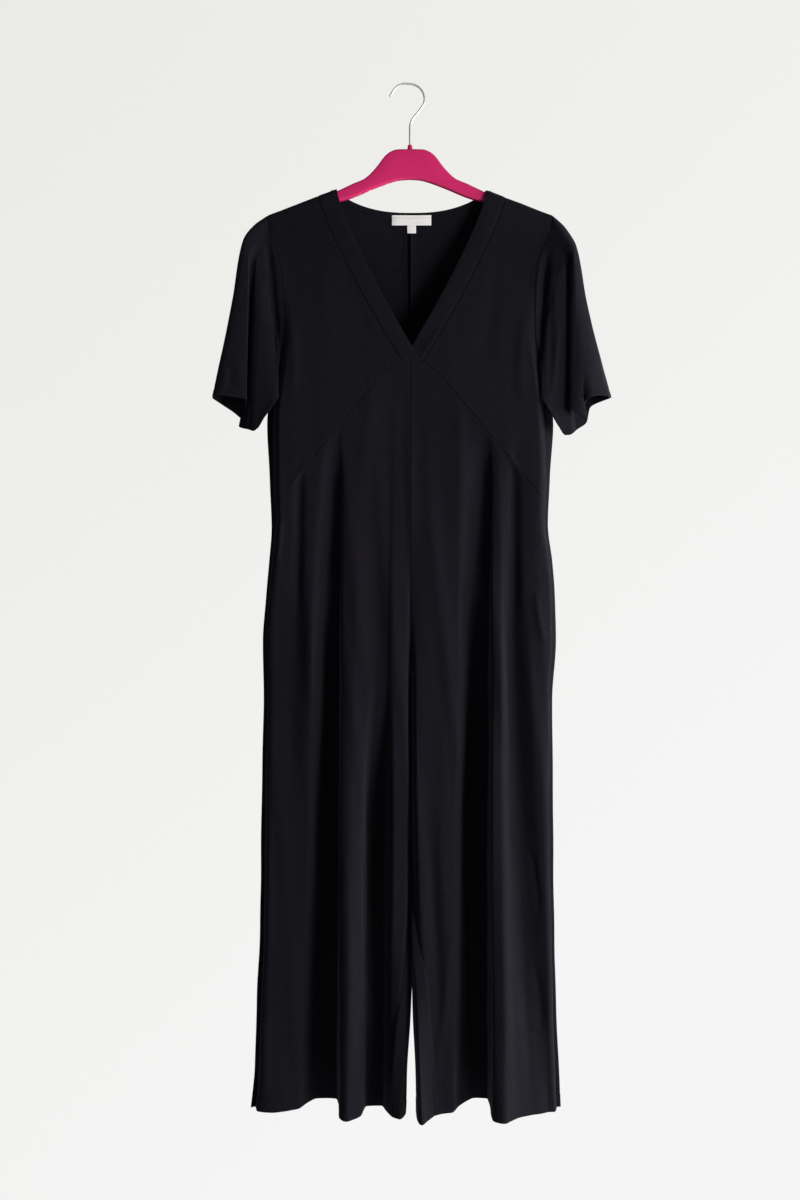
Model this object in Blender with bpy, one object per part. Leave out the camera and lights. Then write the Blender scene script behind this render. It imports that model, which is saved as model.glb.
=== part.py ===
"""A short-sleeved, wide-legged jersey jumpsuit hanging on a moulded hanger.

Lengths are millimetres until a mesh is made. +X is the viewer's right, the front faces -Y, +Z is up,
and the origin is the underside of the hook's top, where the hanger rests on its nail.
Every cloth piece is a wall grown inwards from a grid of points on the garment's outer surface:
columns run across the piece and rows run down it. Pieces that are sewn together share the points
of their seam, and each is drawn back from it by half of SEAM_GAP.
"""

import math
from typing import NamedTuple

import bpy
import numpy as np

MM = 0.001

# Cloth and seams
CLOTH = 1.3
POCKET_CLOTH = 0.8
LABEL_CLOTH = 0.5
SEAM_GAP = 0.3
BAND_FOOT_GAP = 0.5
COLUMN_TOLERANCE = 0.01

# Shoulders: a straight ridge that falls from the neck point to the armhole
NECK_POINT = (107.0, -152.0)
SHOULDER_SLOPE = 0.386
SHOULDER_TIP = 207.0
SHOULDER_WAY = (0.0, 0.0, 1.0)
RIDGE_RADIUS = 9.0
RIDGE_EASE = 80.0
EDGE_EASE = 30.0
SHOULDER_END = NECK_POINT[1] - SHOULDER_SLOPE * (SHOULDER_TIP - NECK_POINT[0])
NECK_CENTRE = 2.4

# Front neck bands: control points of their edges, as (distance from the neck's centre, height).
# A band crosses the centre at the foot of the V, where the viewer's left one lies over the right.
BAND_INNER = ((109.6, -152.0), (101.0, -205.0), (42.0, -320.0), (-12.5, -406.0))
BAND_OUTER = ((137.0, -163.5), (122.0, -215.0), (68.0, -325.0), (15.0, -408.0))
BAND_COLUMNS = 3
BAND_END_FADE = 8
BAND_UNDERLAP = 1.8
UNDERLAP_FROM = -345.0
UNDERLAP_FULL = -378.0

# Back neck: a shallow curve below the shoulder line, edged by a narrow band
BACK_NECK_REACH = 109.6
BACK_NECK_DROP = 31.5
BACK_NECK_POWERS = (2.5, 0.9)
BACK_BAND_WIDTH = 8.0

# Empire seam: an apex at the foot of the V, then straight falls to the side seams
EMPIRE_TOP = -406.0
EMPIRE_SLOPE = 1.225
EMPIRE_APEX = 27.0
EMPIRE_SIDE = -610.0

UNDERARM = -431.0
HEM = -1484.0

# Hanger
HANGER_REACH = 196.0
HANGER_HALF_DEPTH = 4.5
HANGER_EDGE = 3.0
HANGER_CLEARANCE = 2.4
WIRE = 3.0
STEM_FOOT = -108.0
STEM_CLEARANCE = 0.3


class Side(NamedTuple):
    """Half widths at one height: of the seam or armhole, and of the outline, on each side."""

    height: float
    seam_left: float
    seam_right: float
    outline_left: float
    outline_right: float


SIDES = (
    Side(SHOULDER_END, SHOULDER_TIP, SHOULDER_TIP, 202.0, 202.0),
    Side(-212.0, 204.5, 203.0, 199.5, 198.5),
    Side(-260.0, 188.5, 184.5, 184.0, 180.0),
    Side(-305.0, 182.0, 178.5, 177.5, 174.0),
    Side(-360.0, 181.0, 178.5, 177.5, 175.5),
    Side(-402.0, 186.0, 184.0, 187.0, 185.0),
    Side(-431.0, 191.0, 189.0, 198.0, 197.0),
    Side(-494.0, 198.0, 199.0, 207.0, 208.0),
    Side(-574.0, 197.5, 197.0, 203.2, 202.8),
    Side(-640.0, 195.5, 195.0, 200.5, 199.7),
    Side(-694.0, 199.5, 200.5, 204.2, 205.2),
    Side(-746.0, 204.5, 205.0, 208.9, 209.3),
    Side(-808.0, 208.0, 206.0, 213.2, 211.2),
    Side(-892.0, 206.8, 202.2, 212.2, 207.4),
    Side(-1050.0, 210.6, 202.2, 216.2, 207.6),
    Side(-1213.0, 211.6, 204.9, 217.2, 210.3),
    Side(-1311.0, 215.3, 206.3, 221.2, 211.4),
    Side(-1423.0, 218.8, 210.0, 224.9, 215.5),
    Side(-1484.0, 224.5, 213.0, 230.5, 218.5),
)


class Depth(NamedTuple):
    """How far the cloth stands before and behind the hanger's plane at one height."""

    height: float
    front: float
    back: float
    front_edge: float
    back_edge: float


DEPTHS = (
    Depth(-152.0, -12.0, 12.0, 0.0, 0.0),
    Depth(-191.0, -16.0, 14.0, 0.0, 0.0),
    Depth(-212.0, -20.0, 15.0, -10.0, 8.0),
    Depth(-260.0, -25.0, 17.0, -19.0, 13.0),
    Depth(-305.0, -28.0, 19.0, -24.0, 15.0),
    Depth(-360.0, -31.0, 21.0, -24.0, 15.0),
    Depth(-402.0, -33.0, 22.0, -18.0, 7.0),
    Depth(-431.0, -34.0, 23.0, -8.0, -8.0),
    Depth(-500.0, -35.0, 25.0, -8.0, -8.0),
    Depth(-620.0, -34.0, 28.0, -8.0, -8.0),
    Depth(-843.0, -32.0, 31.0, -7.0, -7.0),
    Depth(-1103.0, -28.0, 34.0, -6.0, -6.0),
    Depth(-1484.0, -24.0, 37.0, -5.0, -5.0),
)
EDGE_ROUNDING = 38.0
OUTLINE_DEPTH = 6.0

HIP = -840.0
KNEE = -1100.0


class Fold(NamedTuple):
    """A ridge or valley that runs down a panel: how far from the centre line it lies where the
    panel starts and at hip, knee and hem, its depth at hip, knee and hem, and the mesh columns
    between the fold before it and this one."""

    start: float
    hip: float
    knee: float
    hem: float
    hip_depth: float
    knee_depth: float
    hem_depth: float
    columns: int


# From the side seam, which SIDES gives, to the centre front and inseam
FRONT_FOLDS_LEFT = (
    Fold(174.6, 186.9, 191.2, 198.5, -21.0, -22.0, -21.0, 2),
    Fold(151.7, 164.8, 171.5, 175.0, -14.0, -17.0, -19.0, 1),
    Fold(130.3, 141.9, 150.5, 158.0, -29.0, -29.0, -15.0, 2),
    Fold(107.0, 112.8, 121.0, 130.5, -2.0, 13.0, 23.0, 2),
    Fold(98.9, 101.5, 105.5, 107.5, -6.0, 10.0, 21.0, 1),
    Fold(86.0, 91.0, 98.8, 103.6, -33.0, -33.0, -35.0, 2),
    Fold(63.1, 68.5, 79.6, 86.3, -42.0, -48.0, -55.0, 2),
    Fold(30.0, 34.6, 44.9, 52.0, -27.0, -10.0, -5.0, 2),
    Fold(14.0, 10.5, 14.6, 31.0, -38.0, -41.0, -26.0, 2),
)
FRONT_FOLDS_RIGHT = (
    Fold(178.0, 189.3, 190.8, 198.3, -21.0, -22.0, -20.0, 2),
    Fold(156.9, 164.8, 172.8, 177.0, -10.0, -16.0, -21.0, 1),
    Fold(128.4, 134.8, 138.3, 134.6, -38.0, -47.0, -60.0, 2),
    Fold(116.9, 119.8, 119.0, 116.6, -31.0, -35.0, -37.0, 1),
    Fold(109.8, 115.5, 117.0, 118.5, -8.0, 9.0, 21.0, 2),
    Fold(99.8, 101.6, 97.0, 100.5, -2.0, 13.0, 23.0, 1),
    Fold(64.0, 56.0, 54.0, 60.0, -39.0, -40.0, -24.0, 3),
    Fold(30.0, 21.0, 34.0, 47.0, -27.0, -31.0, -28.0, 2),
    Fold(14.0, 9.0, 13.0, 40.0, -35.0, -37.0, -31.0, 1),
)


class Inner(NamedTuple):
    """The inner edge of one leg's panels at one height: how far from the centre line it lies, and
    its depth on the front panel and on the back panel. The two meet from the crotch down."""

    height: float
    across: float
    front: float
    back: float


INNER_LEFT = (
    Inner(EMPIRE_TOP, 0.0, -32.0, 21.7),
    Inner(-620.0, 0.0, -34.0, 28.0),
    Inner(-790.0, 0.0, -31.0, 29.0),
    Inner(-840.0, 0.0, -21.0, 20.0),
    Inner(-885.0, 0.0, 2.0, 2.0),
    Inner(-960.0, 1.0, 0.0, 0.0),
    Inner(-1100.0, 2.0, -8.0, -8.0),
    Inner(-1246.0, 6.0, -28.0, -28.0),
    Inner(-1406.0, 24.0, -38.0, -38.0),
    Inner(-1484.0, 25.5, -39.0, -39.0),
)
INNER_RIGHT = (
    Inner(EMPIRE_TOP, 0.0, -32.0, 21.7),
    Inner(-620.0, 0.0, -34.0, 28.0),
    Inner(-790.0, 0.0, -31.0, 29.0),
    Inner(-840.0, 0.0, -21.0, 20.0),
    Inner(-885.0, 0.0, 2.0, 2.0),
    Inner(-960.0, 1.0, 0.0, 0.0),
    Inner(-1100.0, 3.5, -6.0, -6.0),
    Inner(-1206.0, 8.0, -16.0, -16.0),
    Inner(-1308.0, 26.0, -31.0, -31.0),
    Inner(-1484.0, 35.0, -35.0, -35.0),
)

# From the flat beside the outline to the last fold before the leg's inner side. NECK_FOLD starts at
# the corner where the shoulder meets the back neck band.
NECK_FOLD = 1
SIDE_COLUMNS = (2, 2)
TURN_COLUMNS = (2, 2, 2, 1)
CENTRE_COLUMNS = 2
CORNER_REACH = 12.0
CORNER_EASE = 6.0
UNDERARM_TURN = -380.0
BACK_FOLDS_LEFT = (
    Fold(150.0, 182.0, 186.0, 190.0, 33.0, 38.0, 40.0, 2),
    Fold(115.2, 150.0, 154.0, 160.0, 29.0, 30.0, 30.0, 2),
    Fold(106.0, 137.0, 142.0, 147.0, 30.0, 33.0, 34.0, 2),
    Fold(84.0, 112.0, 118.0, 122.0, 32.0, 38.0, 43.0, 2),
    Fold(62.0, 74.0, 80.0, 84.0, 29.0, 29.0, 29.0, 2),
    Fold(40.0, 44.0, 48.0, 52.0, 33.0, 36.0, 41.0, 2),
)
BACK_FOLDS_RIGHT = (
    Fold(150.0, 176.0, 176.0, 182.0, 32.0, 36.0, 41.0, 2),
    Fold(120.0, 140.0, 142.0, 146.0, 29.0, 29.0, 30.0, 2),
    Fold(109.0, 128.0, 130.0, 133.0, 30.0, 32.0, 35.0, 2),
    Fold(84.0, 104.0, 104.0, 106.0, 33.0, 39.0, 43.0, 2),
    Fold(62.0, 70.0, 70.0, 72.0, 29.0, 28.0, 29.0, 2),
    Fold(40.0, 40.0, 42.0, 46.0, 32.0, 35.0, 40.0, 2),
)


class Turn(NamedTuple):
    """The back panel's wrap round the inner leg at one height: where it leaves the back, its
    innermost point, and the ridge that it makes on the front of the leg."""

    height: float
    corner: float
    corner_depth: float
    inmost: float
    inmost_depth: float
    ridge: float
    ridge_depth: float


TURNS_LEFT = (
    Turn(EMPIRE_TOP, 22.0, 21.7, 12.0, 21.7, 6.0, 21.7),
    Turn(-620.0, 20.0, 28.0, 10.0, 28.0, 5.0, 28.0),
    Turn(-790.0, 18.0, 30.0, 9.0, 29.5, 4.0, 29.0),
    Turn(-885.0, 10.0, 29.0, -2.2, 22.0, 0.2, 12.0),
    Turn(-960.0, 7.0, 27.0, -2.2, 18.0, 0.6, 9.0),
    Turn(-1100.0, 6.0, 26.0, -2.2, 12.0, 0.6, 1.0),
    Turn(-1246.0, 6.0, 22.0, -2.2, 2.0, 1.0, -18.0),
    Turn(-1406.0, 12.0, 20.0, 4.5, -14.0, 9.0, -43.0),
    Turn(-1484.0, 16.0, 20.0, 9.5, -18.0, 15.0, -48.0),
)
TURNS_RIGHT = (
    Turn(EMPIRE_TOP, 22.0, 21.7, 12.0, 21.7, 6.0, 21.7),
    Turn(-620.0, 20.0, 28.0, 10.0, 28.0, 5.0, 28.0),
    Turn(-790.0, 18.0, 30.0, 9.0, 29.5, 4.0, 29.0),
    Turn(-885.0, 13.0, 29.0, 3.4, 22.0, 1.6, 12.0),
    Turn(-960.0, 11.0, 27.0, 3.4, 18.0, 1.6, 9.0),
    Turn(-1100.0, 10.0, 26.0, 3.4, 12.0, 1.6, 2.0),
    Turn(-1206.0, 10.0, 24.0, 3.4, 4.0, 1.6, -10.0),
    Turn(-1308.0, 12.0, 20.0, 3.0, -10.0, 9.0, -38.0),
    Turn(-1406.0, 16.0, 20.0, 6.0, -16.0, 13.0, -56.0),
    Turn(-1484.0, 19.0, 20.0, 9.5, -20.0, 16.6, -64.0),
)

# Shares of the way down that the rows of the upper and lower pieces lie at
UPPER_ROWS = (0.0, 0.003, 0.012, 0.028, 0.07, 0.165, 0.272, 0.38, 0.48, 0.573, 0.68, 0.79, 0.9, 1.0)
LOWER_ROWS = (0.0, 0.0195, 0.07, 0.13, 0.2, 0.265, 0.333, 0.392, 0.4443, 0.5, 0.58, 0.67, 0.77, 0.89, 1.0)
CROTCH_SHARE = 0.4443
UNDERARM_ROW = 9
POCKET_ROWS = slice(1, 7)
MOUTH_ROWS = slice(2, 5)
POCKET_EASE = 2.0
POCKET_SETBACK = 3.0
POCKET_COLUMNS = slice(0, 8)


class SleeveLine(NamedTuple):
    """A line down a sleeve: its place round the armhole from 0 at the shoulder through 0.5 at the
    underarm, then its distance from the centre line, depth and height at the cap and at the hem."""

    place: float
    cap: tuple
    hem: tuple


SLEEVE_LEFT = (
    SleeveLine(0.0, (240.0, 2.0, -232.0), (286.0, 2.0, -457.0)),
    SleeveLine(0.12, (238.0, -20.0, -245.0), (262.0, -34.0, -458.5)),
    SleeveLine(0.2, (231.0, -30.0, -256.0), (233.0, -34.0, -464.0)),
    SleeveLine(0.24, (222.0, -14.0, -262.0), (237.0, -10.0, -485.0)),
    SleeveLine(0.3, (206.0, -27.0, -290.0), (224.6, -30.0, -508.5)),
    SleeveLine(0.4, (196.0, -35.0, -345.0), (202.0, -43.0, -483.0)),
    SleeveLine(0.46, (188.0, -30.0, -405.0), (188.0, -35.0, -461.0)),
    SleeveLine(0.5, (193.5, -14.0, -435.0), (201.0, -17.0, -466.0)),
    SleeveLine(0.6, (205.0, 10.0, -385.0), (227.0, 5.0, -502.0)),
    SleeveLine(0.74, (221.0, 22.0, -300.0), (246.0, 17.0, -493.0)),
    SleeveLine(0.81, (229.0, 21.0, -272.0), (258.0, 20.0, -484.0)),
    SleeveLine(0.88, (235.0, 17.0, -247.0), (264.0, 20.0, -467.0)),
    SleeveLine(1.0, (240.0, 2.0, -232.0), (286.0, 2.0, -457.0)),
)
SLEEVE_RIGHT = (
    SleeveLine(0.0, (238.0, 2.0, -232.0), (293.0, 2.0, -454.0)),
    SleeveLine(0.12, (238.0, -20.0, -245.0), (268.0, -34.0, -457.0)),
    SleeveLine(0.2, (231.0, -30.0, -256.0), (245.0, -36.0, -471.0)),
    SleeveLine(0.24, (219.0, -10.0, -262.0), (241.0, -8.0, -486.0)),
    SleeveLine(0.3, (204.0, -26.0, -290.0), (223.5, -30.0, -512.0)),
    SleeveLine(0.4, (194.0, -35.0, -345.0), (205.0, -42.0, -489.0)),
    SleeveLine(0.46, (186.0, -30.0, -405.0), (189.0, -35.0, -463.0)),
    SleeveLine(0.5, (191.5, -14.0, -435.0), (200.0, -17.0, -466.0)),
    SleeveLine(0.6, (204.0, 10.0, -385.0), (229.0, 5.0, -508.0)),
    SleeveLine(0.74, (219.0, 22.0, -300.0), (247.0, 17.0, -497.0)),
    SleeveLine(0.81, (228.0, 21.0, -272.0), (260.0, 20.0, -487.0)),
    SleeveLine(0.88, (234.0, 17.0, -247.0), (265.0, 20.0, -466.0)),
    SleeveLine(1.0, (238.0, 2.0, -232.0), (293.0, 2.0, -454.0)),
)
SLEEVE_CAP = 0.2
SLEEVE_MIDDLE = 0.5
MIDDLE_SHARES = (0.34, 0.375, 0.375)
SLEEVE_ROWS = (0.0, 0.07, 0.16, 0.3, 0.48, 0.66, 0.84, 1.0)


class HangerEdge(NamedTuple):
    """A point on the hanger's upper or lower edge: its distance from the middle, and height."""

    across: float
    height: float


HANGER_TOP = (
    HangerEdge(0.0, -94.0),
    HangerEdge(18.5, -94.4),
    HangerEdge(29.0, -98.0),
    HangerEdge(37.4, -105.0),
    HangerEdge(44.0, -113.9),
    HangerEdge(54.3, -126.4),
    HangerEdge(66.4, -137.2),
    HangerEdge(82.4, -144.0),
)
HANGER_FOOT = (
    HangerEdge(0.0, -137.6),
    HangerEdge(14.0, -138.6),
    HangerEdge(28.0, -142.3),
    HangerEdge(42.0, -147.3),
    HangerEdge(56.0, -152.8),
    HangerEdge(75.0, -161.0),
    HangerEdge(94.0, -167.8),
    HangerEdge(108.0, -170.8),
)
HANGER_TIP_HEIGHT = 13.0
BOSS_RADIUS = 4.5
BOSS_TOP = -88.0

# The hook's centre line, from its open end over the top and down the stem
HOOK_PATH = (
    (-29.1, -16.6), (-24.8, -9.2), (-18.6, -2.2), (-10.5, 1.4), (-1.0, 1.5), (8.5, -0.6),
    (16.2, -6.6), (20.6, -15.4), (20.8, -25.0), (16.4, -33.4), (9.6, -42.2), (3.6, -49.6),
    (0.6, -57.0), (0.0, -70.0), (0.0, -90.0), (0.0, STEM_FOOT),
)

LABEL_WIDTH, LABEL_HEIGHT, LABEL_TOP = 58.0, 16.0, -184.0
TAB_WIDTH, TAB_HEIGHT = 15.0, 11.5
LABEL_LIFT = 0.4
BOSS_TIP_RADIUS, BOSS_FOOT, HOLE_RADIUS, HOLE_OVERSHOOT = 3.2, -100.0, 1.95, 1.0
LABEL_COLUMNS, LABEL_ROWS = 5, 4


# ---------------------------------------------------------------------------------------------
# Curves
# ---------------------------------------------------------------------------------------------


def smooth(stops, values, at):
    """A curve through values at stops that never passes beyond two neighbouring values."""
    stops = np.asarray(stops, float)
    values = np.asarray(values, float)
    if stops[0] > stops[-1]:
        stops, values = stops[::-1], values[::-1]
    steps = np.diff(stops)
    slopes = np.diff(values) / steps
    tangents = np.zeros_like(values)
    same_way = slopes[:-1] * slopes[1:] > 0
    near, far = 2 * steps[1:] + steps[:-1], steps[1:] + 2 * steps[:-1]
    safe = np.where(same_way, slopes[:-1], 1.0), np.where(same_way, slopes[1:], 1.0)
    mean = (near + far) / (near / safe[0] + far / safe[1])
    tangents[1:-1] = np.where(same_way, mean, 0.0)
    tangents[0], tangents[-1] = slopes[0], slopes[-1]
    at = np.clip(np.asarray(at, float), stops[0], stops[-1])
    cell = np.clip(np.searchsorted(stops, at, side="right") - 1, 0, len(steps) - 1)
    t = (at - stops[cell]) / steps[cell]
    return (
        values[cell] * (1 + 2 * t) * (1 - t) ** 2
        + tangents[cell] * steps[cell] * t * (1 - t) ** 2
        + values[cell + 1] * t**2 * (3 - 2 * t)
        + tangents[cell + 1] * steps[cell] * t**2 * (t - 1)
    )


def column(table, name):
    return [getattr(row, name) for row in table]


def from_table(table, name, height):
    return smooth(column(table, "height"), column(table, name), height)


def soft_step(share):
    share = np.clip(share, 0.0, 1.0)
    return share**2 * (3 - 2 * share)


def empire_height(across):
    """The empire seam's height at a distance from the centre line."""
    reach = (np.abs(across) ** 3 + EMPIRE_APEX**3) ** (1 / 3) - EMPIRE_APEX
    return EMPIRE_TOP - EMPIRE_SLOPE * reach


def ridge_height(across):
    """The shoulder ridge's height; within the neck it stays at the neck point's."""
    beyond = np.maximum(np.abs(across) - NECK_POINT[0], 0.0)
    return NECK_POINT[1] - SHOULDER_SLOPE * beyond


def seam_reach(side, height):
    """Half width to the armhole or side seam on one side, -1 left or 1 right."""
    return from_table(SIDES, "seam_left" if side < 0 else "seam_right", height)


def outline_reach(side, height):
    return from_table(SIDES, "outline_left" if side < 0 else "outline_right", height)


def plain_depth(name, across, height):
    """Depth of the plain front or back surface: round over the shoulder ridge, then easing out."""
    drop = np.maximum(ridge_height(across) - height, 0.0)
    arch = np.sqrt(1 - (1 - np.minimum(drop / RIDGE_RADIUS, 1.0)) ** 2)
    share = 1 - np.exp(-np.maximum(drop - RIDGE_RADIUS, 0.0) / RIDGE_EASE)
    ridge = RIDGE_RADIUS if name == "back" else -RIDGE_RADIUS
    return ridge * arch + (from_table(DEPTHS, name, height) - ridge) * share


def edge_depth(name, across, height):
    """Depth of the front's or back's edge along the armhole and the side seam."""
    drop = np.maximum(ridge_height(across) - height, 0.0)
    share = soft_step((drop - RIDGE_RADIUS) / EDGE_EASE)
    near_ridge = plain_depth(name, across, height)
    return near_ridge + (from_table(DEPTHS, name + "_edge", height) - near_ridge) * share


def body_depth(name, side, across, height):
    """Depth of the front or back surface, turned towards its edge near the side."""
    plain = plain_depth(name, across, height)
    turn = np.clip(1 - (seam_reach(side, height) - across) / EDGE_ROUNDING, 0.0, 1.0) ** 2
    return plain + (edge_depth(name, across, height) - plain) * turn


def side_foot(side):
    """Height where the empire seam meets the side seam."""
    return float(empire_height(seam_reach(side, EMPIRE_SIDE)))


def neck_curve(share, drop):
    """Height of the back neck's curve at a share of its reach."""
    bend, ease = BACK_NECK_POWERS
    return NECK_POINT[1] - drop * (1 - np.abs(share) ** bend) ** ease


def back_top(across):
    """Height of the back panels' upper edge: the shoulder ridge, then the back neck band's seam."""
    share = np.clip((across - NECK_CENTRE) / (BACK_NECK_REACH + BACK_BAND_WIDTH), -1.0, 1.0)
    return np.minimum(ridge_height(across), neck_curve(share, BACK_NECK_DROP + BACK_BAND_WIDTH))


# ---------------------------------------------------------------------------------------------
# Grids of points: rows run down a piece, columns across it
# ---------------------------------------------------------------------------------------------


def column_places(folds, before=(), after=()):
    """Places of a panel's stations along it, in columns, and the places of all its columns."""
    counts = list(before) + [fold.columns for fold in folds] + list(after)
    places = np.concatenate([[0], np.cumsum(counts)])
    return places, np.arange(places[-1] + 1)


def fold_line(fold, start, start_height, start_depth, height):
    """One ridge or valley's point at a height."""
    stops = (start_height, HIP, KNEE, HEM)
    across = smooth(stops, (start, fold.hip, fold.knee, fold.hem), height)
    depth = smooth(stops, (start_depth, fold.hip_depth, fold.knee_depth, fold.hem_depth), height)
    return across, depth, height


def row_through(places, columns, stations):
    """One row of points through (distance from the centre line, depth, height) stations."""
    across, depth, height = np.array(stations, float).T
    return np.stack([smooth(places, values, columns) for values in (across, depth, height)], axis=-1)


def leg_front_points(side):
    """The front leg: from the side seam across the folds to the centre front and inseam. Returns
    the points and the column where the neck band's seam meets the empire seam."""
    folds = FRONT_FOLDS_LEFT if side < 0 else FRONT_FOLDS_RIGHT
    inner = INNER_LEFT if side < 0 else INNER_RIGHT
    places, columns = column_places(folds, after=(CENTRE_COLUMNS,))
    starts = np.array([seam_reach(side, side_foot(side))] + [fold.start for fold in folds] + [0.0])
    starts[-2] = abs(NECK_CENTRE + side * BAND_OUTER[-1][0])
    start_heights = empire_height(starts)
    start_heights[0] = side_foot(side)
    start_depths = body_depth("front", side, starts, start_heights)
    top = smooth(places, starts, columns)
    top_heights = empire_height(top)
    top_heights[0] = side_foot(side)
    rows = [np.stack([top, body_depth("front", side, top, top_heights), top_heights], axis=-1)]
    for share in LOWER_ROWS[1:]:
        heights = start_heights + (HEM - start_heights) * share
        side_height, inner_height = heights[0], heights[-1]
        side_depth = from_table(DEPTHS, "front_edge", side_height)
        stations = [(seam_reach(side, side_height), side_depth, side_height)]
        for fold, start, high, depth, height in zip(
            folds, starts[1:], start_heights[1:], start_depths[1:], heights[1:]
        ):
            stations.append(fold_line(fold, start, high, depth, height))
        across = from_table(inner, "across", inner_height)
        stations.append((across, from_table(inner, "front", inner_height), inner_height))
        rows.append(row_through(places, columns, stations))
    points = np.array(rows)
    points[..., 0] *= side
    return points, places[-2]


def bezier(path, share):
    a, b, c, d = (np.array(point) for point in path)
    t = np.asarray(share, float)[:, None]
    return a * (1 - t) ** 3 + 3 * b * t * (1 - t) ** 2 + 3 * c * t**2 * (1 - t) + d * t**3


def band_points(side):
    """A front neck band, from its seam with the bodice to its free edge: its top is on the shoulder
    ridge and its foot on the empire seam. The right one passes under the left one."""
    shares = np.array(UPPER_ROWS)
    outer, inner = bezier(BAND_OUTER, shares), bezier(BAND_INNER, shares)
    mix = np.linspace(0, 1, BAND_COLUMNS + 1)[None, :, None]
    grid = outer[:, None] * (1 - mix) + inner[:, None] * mix
    across = NECK_CENTRE + side * grid[..., 0]
    height = grid[..., 1]
    top_shift = ridge_height(across[0]) - height[0]
    foot_shift = empire_height(across[-1]) - height[-1]
    height = height + top_shift * (1 - shares[:, None]) ** BAND_END_FADE
    height = height + foot_shift * shares[:, None] ** BAND_END_FADE
    depth = plain_depth("front", across, height)
    if side > 0:
        sink = soft_step((UNDERLAP_FROM - height) / (UNDERLAP_FROM - UNDERLAP_FULL))
        depth = depth + BAND_UNDERLAP * sink
    return np.stack([across, depth, height], axis=-1)


def bodice_points(side):
    """The front bodice, blended from its four edges: armhole and side seam, shoulder, band's seam
    and empire seam."""
    leg, last = leg_front_points(side)
    foot = leg[0, : last + 1][:, [0, 2]]
    rows = np.array(UPPER_ROWS)
    heights = SHOULDER_END + (side_foot(side) - SHOULDER_END) * rows
    outer = np.stack([side * seam_reach(side, heights), heights], axis=-1)
    inner = band_points(side)[:, 0][:, [0, 2]]
    places = np.abs(foot[:, 0] - foot[0, 0]) / abs(foot[-1, 0] - foot[0, 0])
    top = outer[0] + (inner[0] - outer[0]) * places[:, None]
    down, over = rows[:, None, None], places[None, :, None]
    corners = (1 - down) * ((1 - over) * outer[0] + over * inner[0])
    corners = corners + down * ((1 - over) * outer[-1] + over * inner[-1])
    grid = (1 - over) * outer[:, None] + over * inner[:, None]
    grid = grid + (1 - down) * top[None] + down * foot[None] - corners
    depth = body_depth("front", side, np.abs(grid[..., 0]), grid[..., 1])
    return np.stack([grid[..., 0], depth, grid[..., 1]], axis=-1)


def back_side_stations(side, heights):
    """The back's points on the side seam, on the outline and on the flat beside it."""
    seam_height, outline_height, corner_height = heights
    seam = seam_reach(side, seam_height)
    outline = outline_reach(side, outline_height)
    corner = outline_reach(side, corner_height) - CORNER_REACH
    lower = soft_step((UNDERARM_TURN - outline_height) / (UNDERARM_TURN - UNDERARM))
    outline_plain = body_depth("back", side, outline, outline_height)
    return [
        (seam, edge_depth("back", seam, seam_height), seam_height),
        (outline, outline_plain + (OUTLINE_DEPTH - outline_plain) * lower, outline_height),
        (corner, plain_depth("back", corner, corner_height) - CORNER_EASE * lower, corner_height),
    ]


def back_points(side):
    """A back panel: from the side seam round the outline and across the back to the centre back,
    and below the crotch round the inner leg to the inseam on its front."""
    folds = BACK_FOLDS_LEFT if side < 0 else BACK_FOLDS_RIGHT
    inner = INNER_LEFT if side < 0 else INNER_RIGHT
    turns = TURNS_LEFT if side < 0 else TURNS_RIGHT
    places, columns = column_places(folds, SIDE_COLUMNS, TURN_COLUMNS)
    starts = [fold.start for fold in folds]
    starts[NECK_FOLD] = abs(NECK_CENTRE + side * (BACK_NECK_REACH + BACK_BAND_WIDTH))
    middle = starts + [turns[0].corner, turns[0].inmost, turns[0].ridge, 0.0]
    side_top = [SHOULDER_END, ridge_height(outline_reach(side, SHOULDER_END))]
    side_top.append(ridge_height(outline_reach(side, SHOULDER_END) - CORNER_REACH))
    foot = side_foot(side)
    side_base = [foot, foot, empire_height(outline_reach(side, foot) - CORNER_REACH)]
    tops = np.array(side_top + [back_top(side * across) for across in middle])
    bases = np.array(side_base + [empire_height(across) for across in middle])
    rows = []
    for share in UPPER_ROWS[:-1]:
        heights = tops + (bases - tops) * share
        stations = back_side_stations(side, heights[:3])
        for across, height in zip(middle, heights[3:]):
            stations.append((across, plain_depth("back", across, height), height))
        rows.append(row_through(places, columns, stations))
    neck = rows[0][:, 0] < starts[NECK_FOLD]
    rows[0][neck, 2] = back_top(side * rows[0][neck, 0])
    rows[0][neck, 1] = plain_depth("back", rows[0][neck, 0], rows[0][neck, 2])
    for share in LOWER_ROWS:
        heights = bases + (HEM - bases) * share
        stations = back_side_stations(side, heights[:3])
        for fold, start, base, height in zip(folds, starts, bases[3:], heights[3:]):
            stations.append(fold_line(fold, start, base, plain_depth("back", start, base), height))
        for name, height in zip(("corner", "inmost", "ridge"), heights[-4:]):
            across = from_table(turns, name, height)
            stations.append((across, from_table(turns, name + "_depth", height), height))
        low = heights[-1]
        stations.append((from_table(inner, "across", low), from_table(inner, "back", low), low))
        rows.append(row_through(places, columns, stations))
    points = np.array(rows)
    points[..., 0] *= side
    return points


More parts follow.
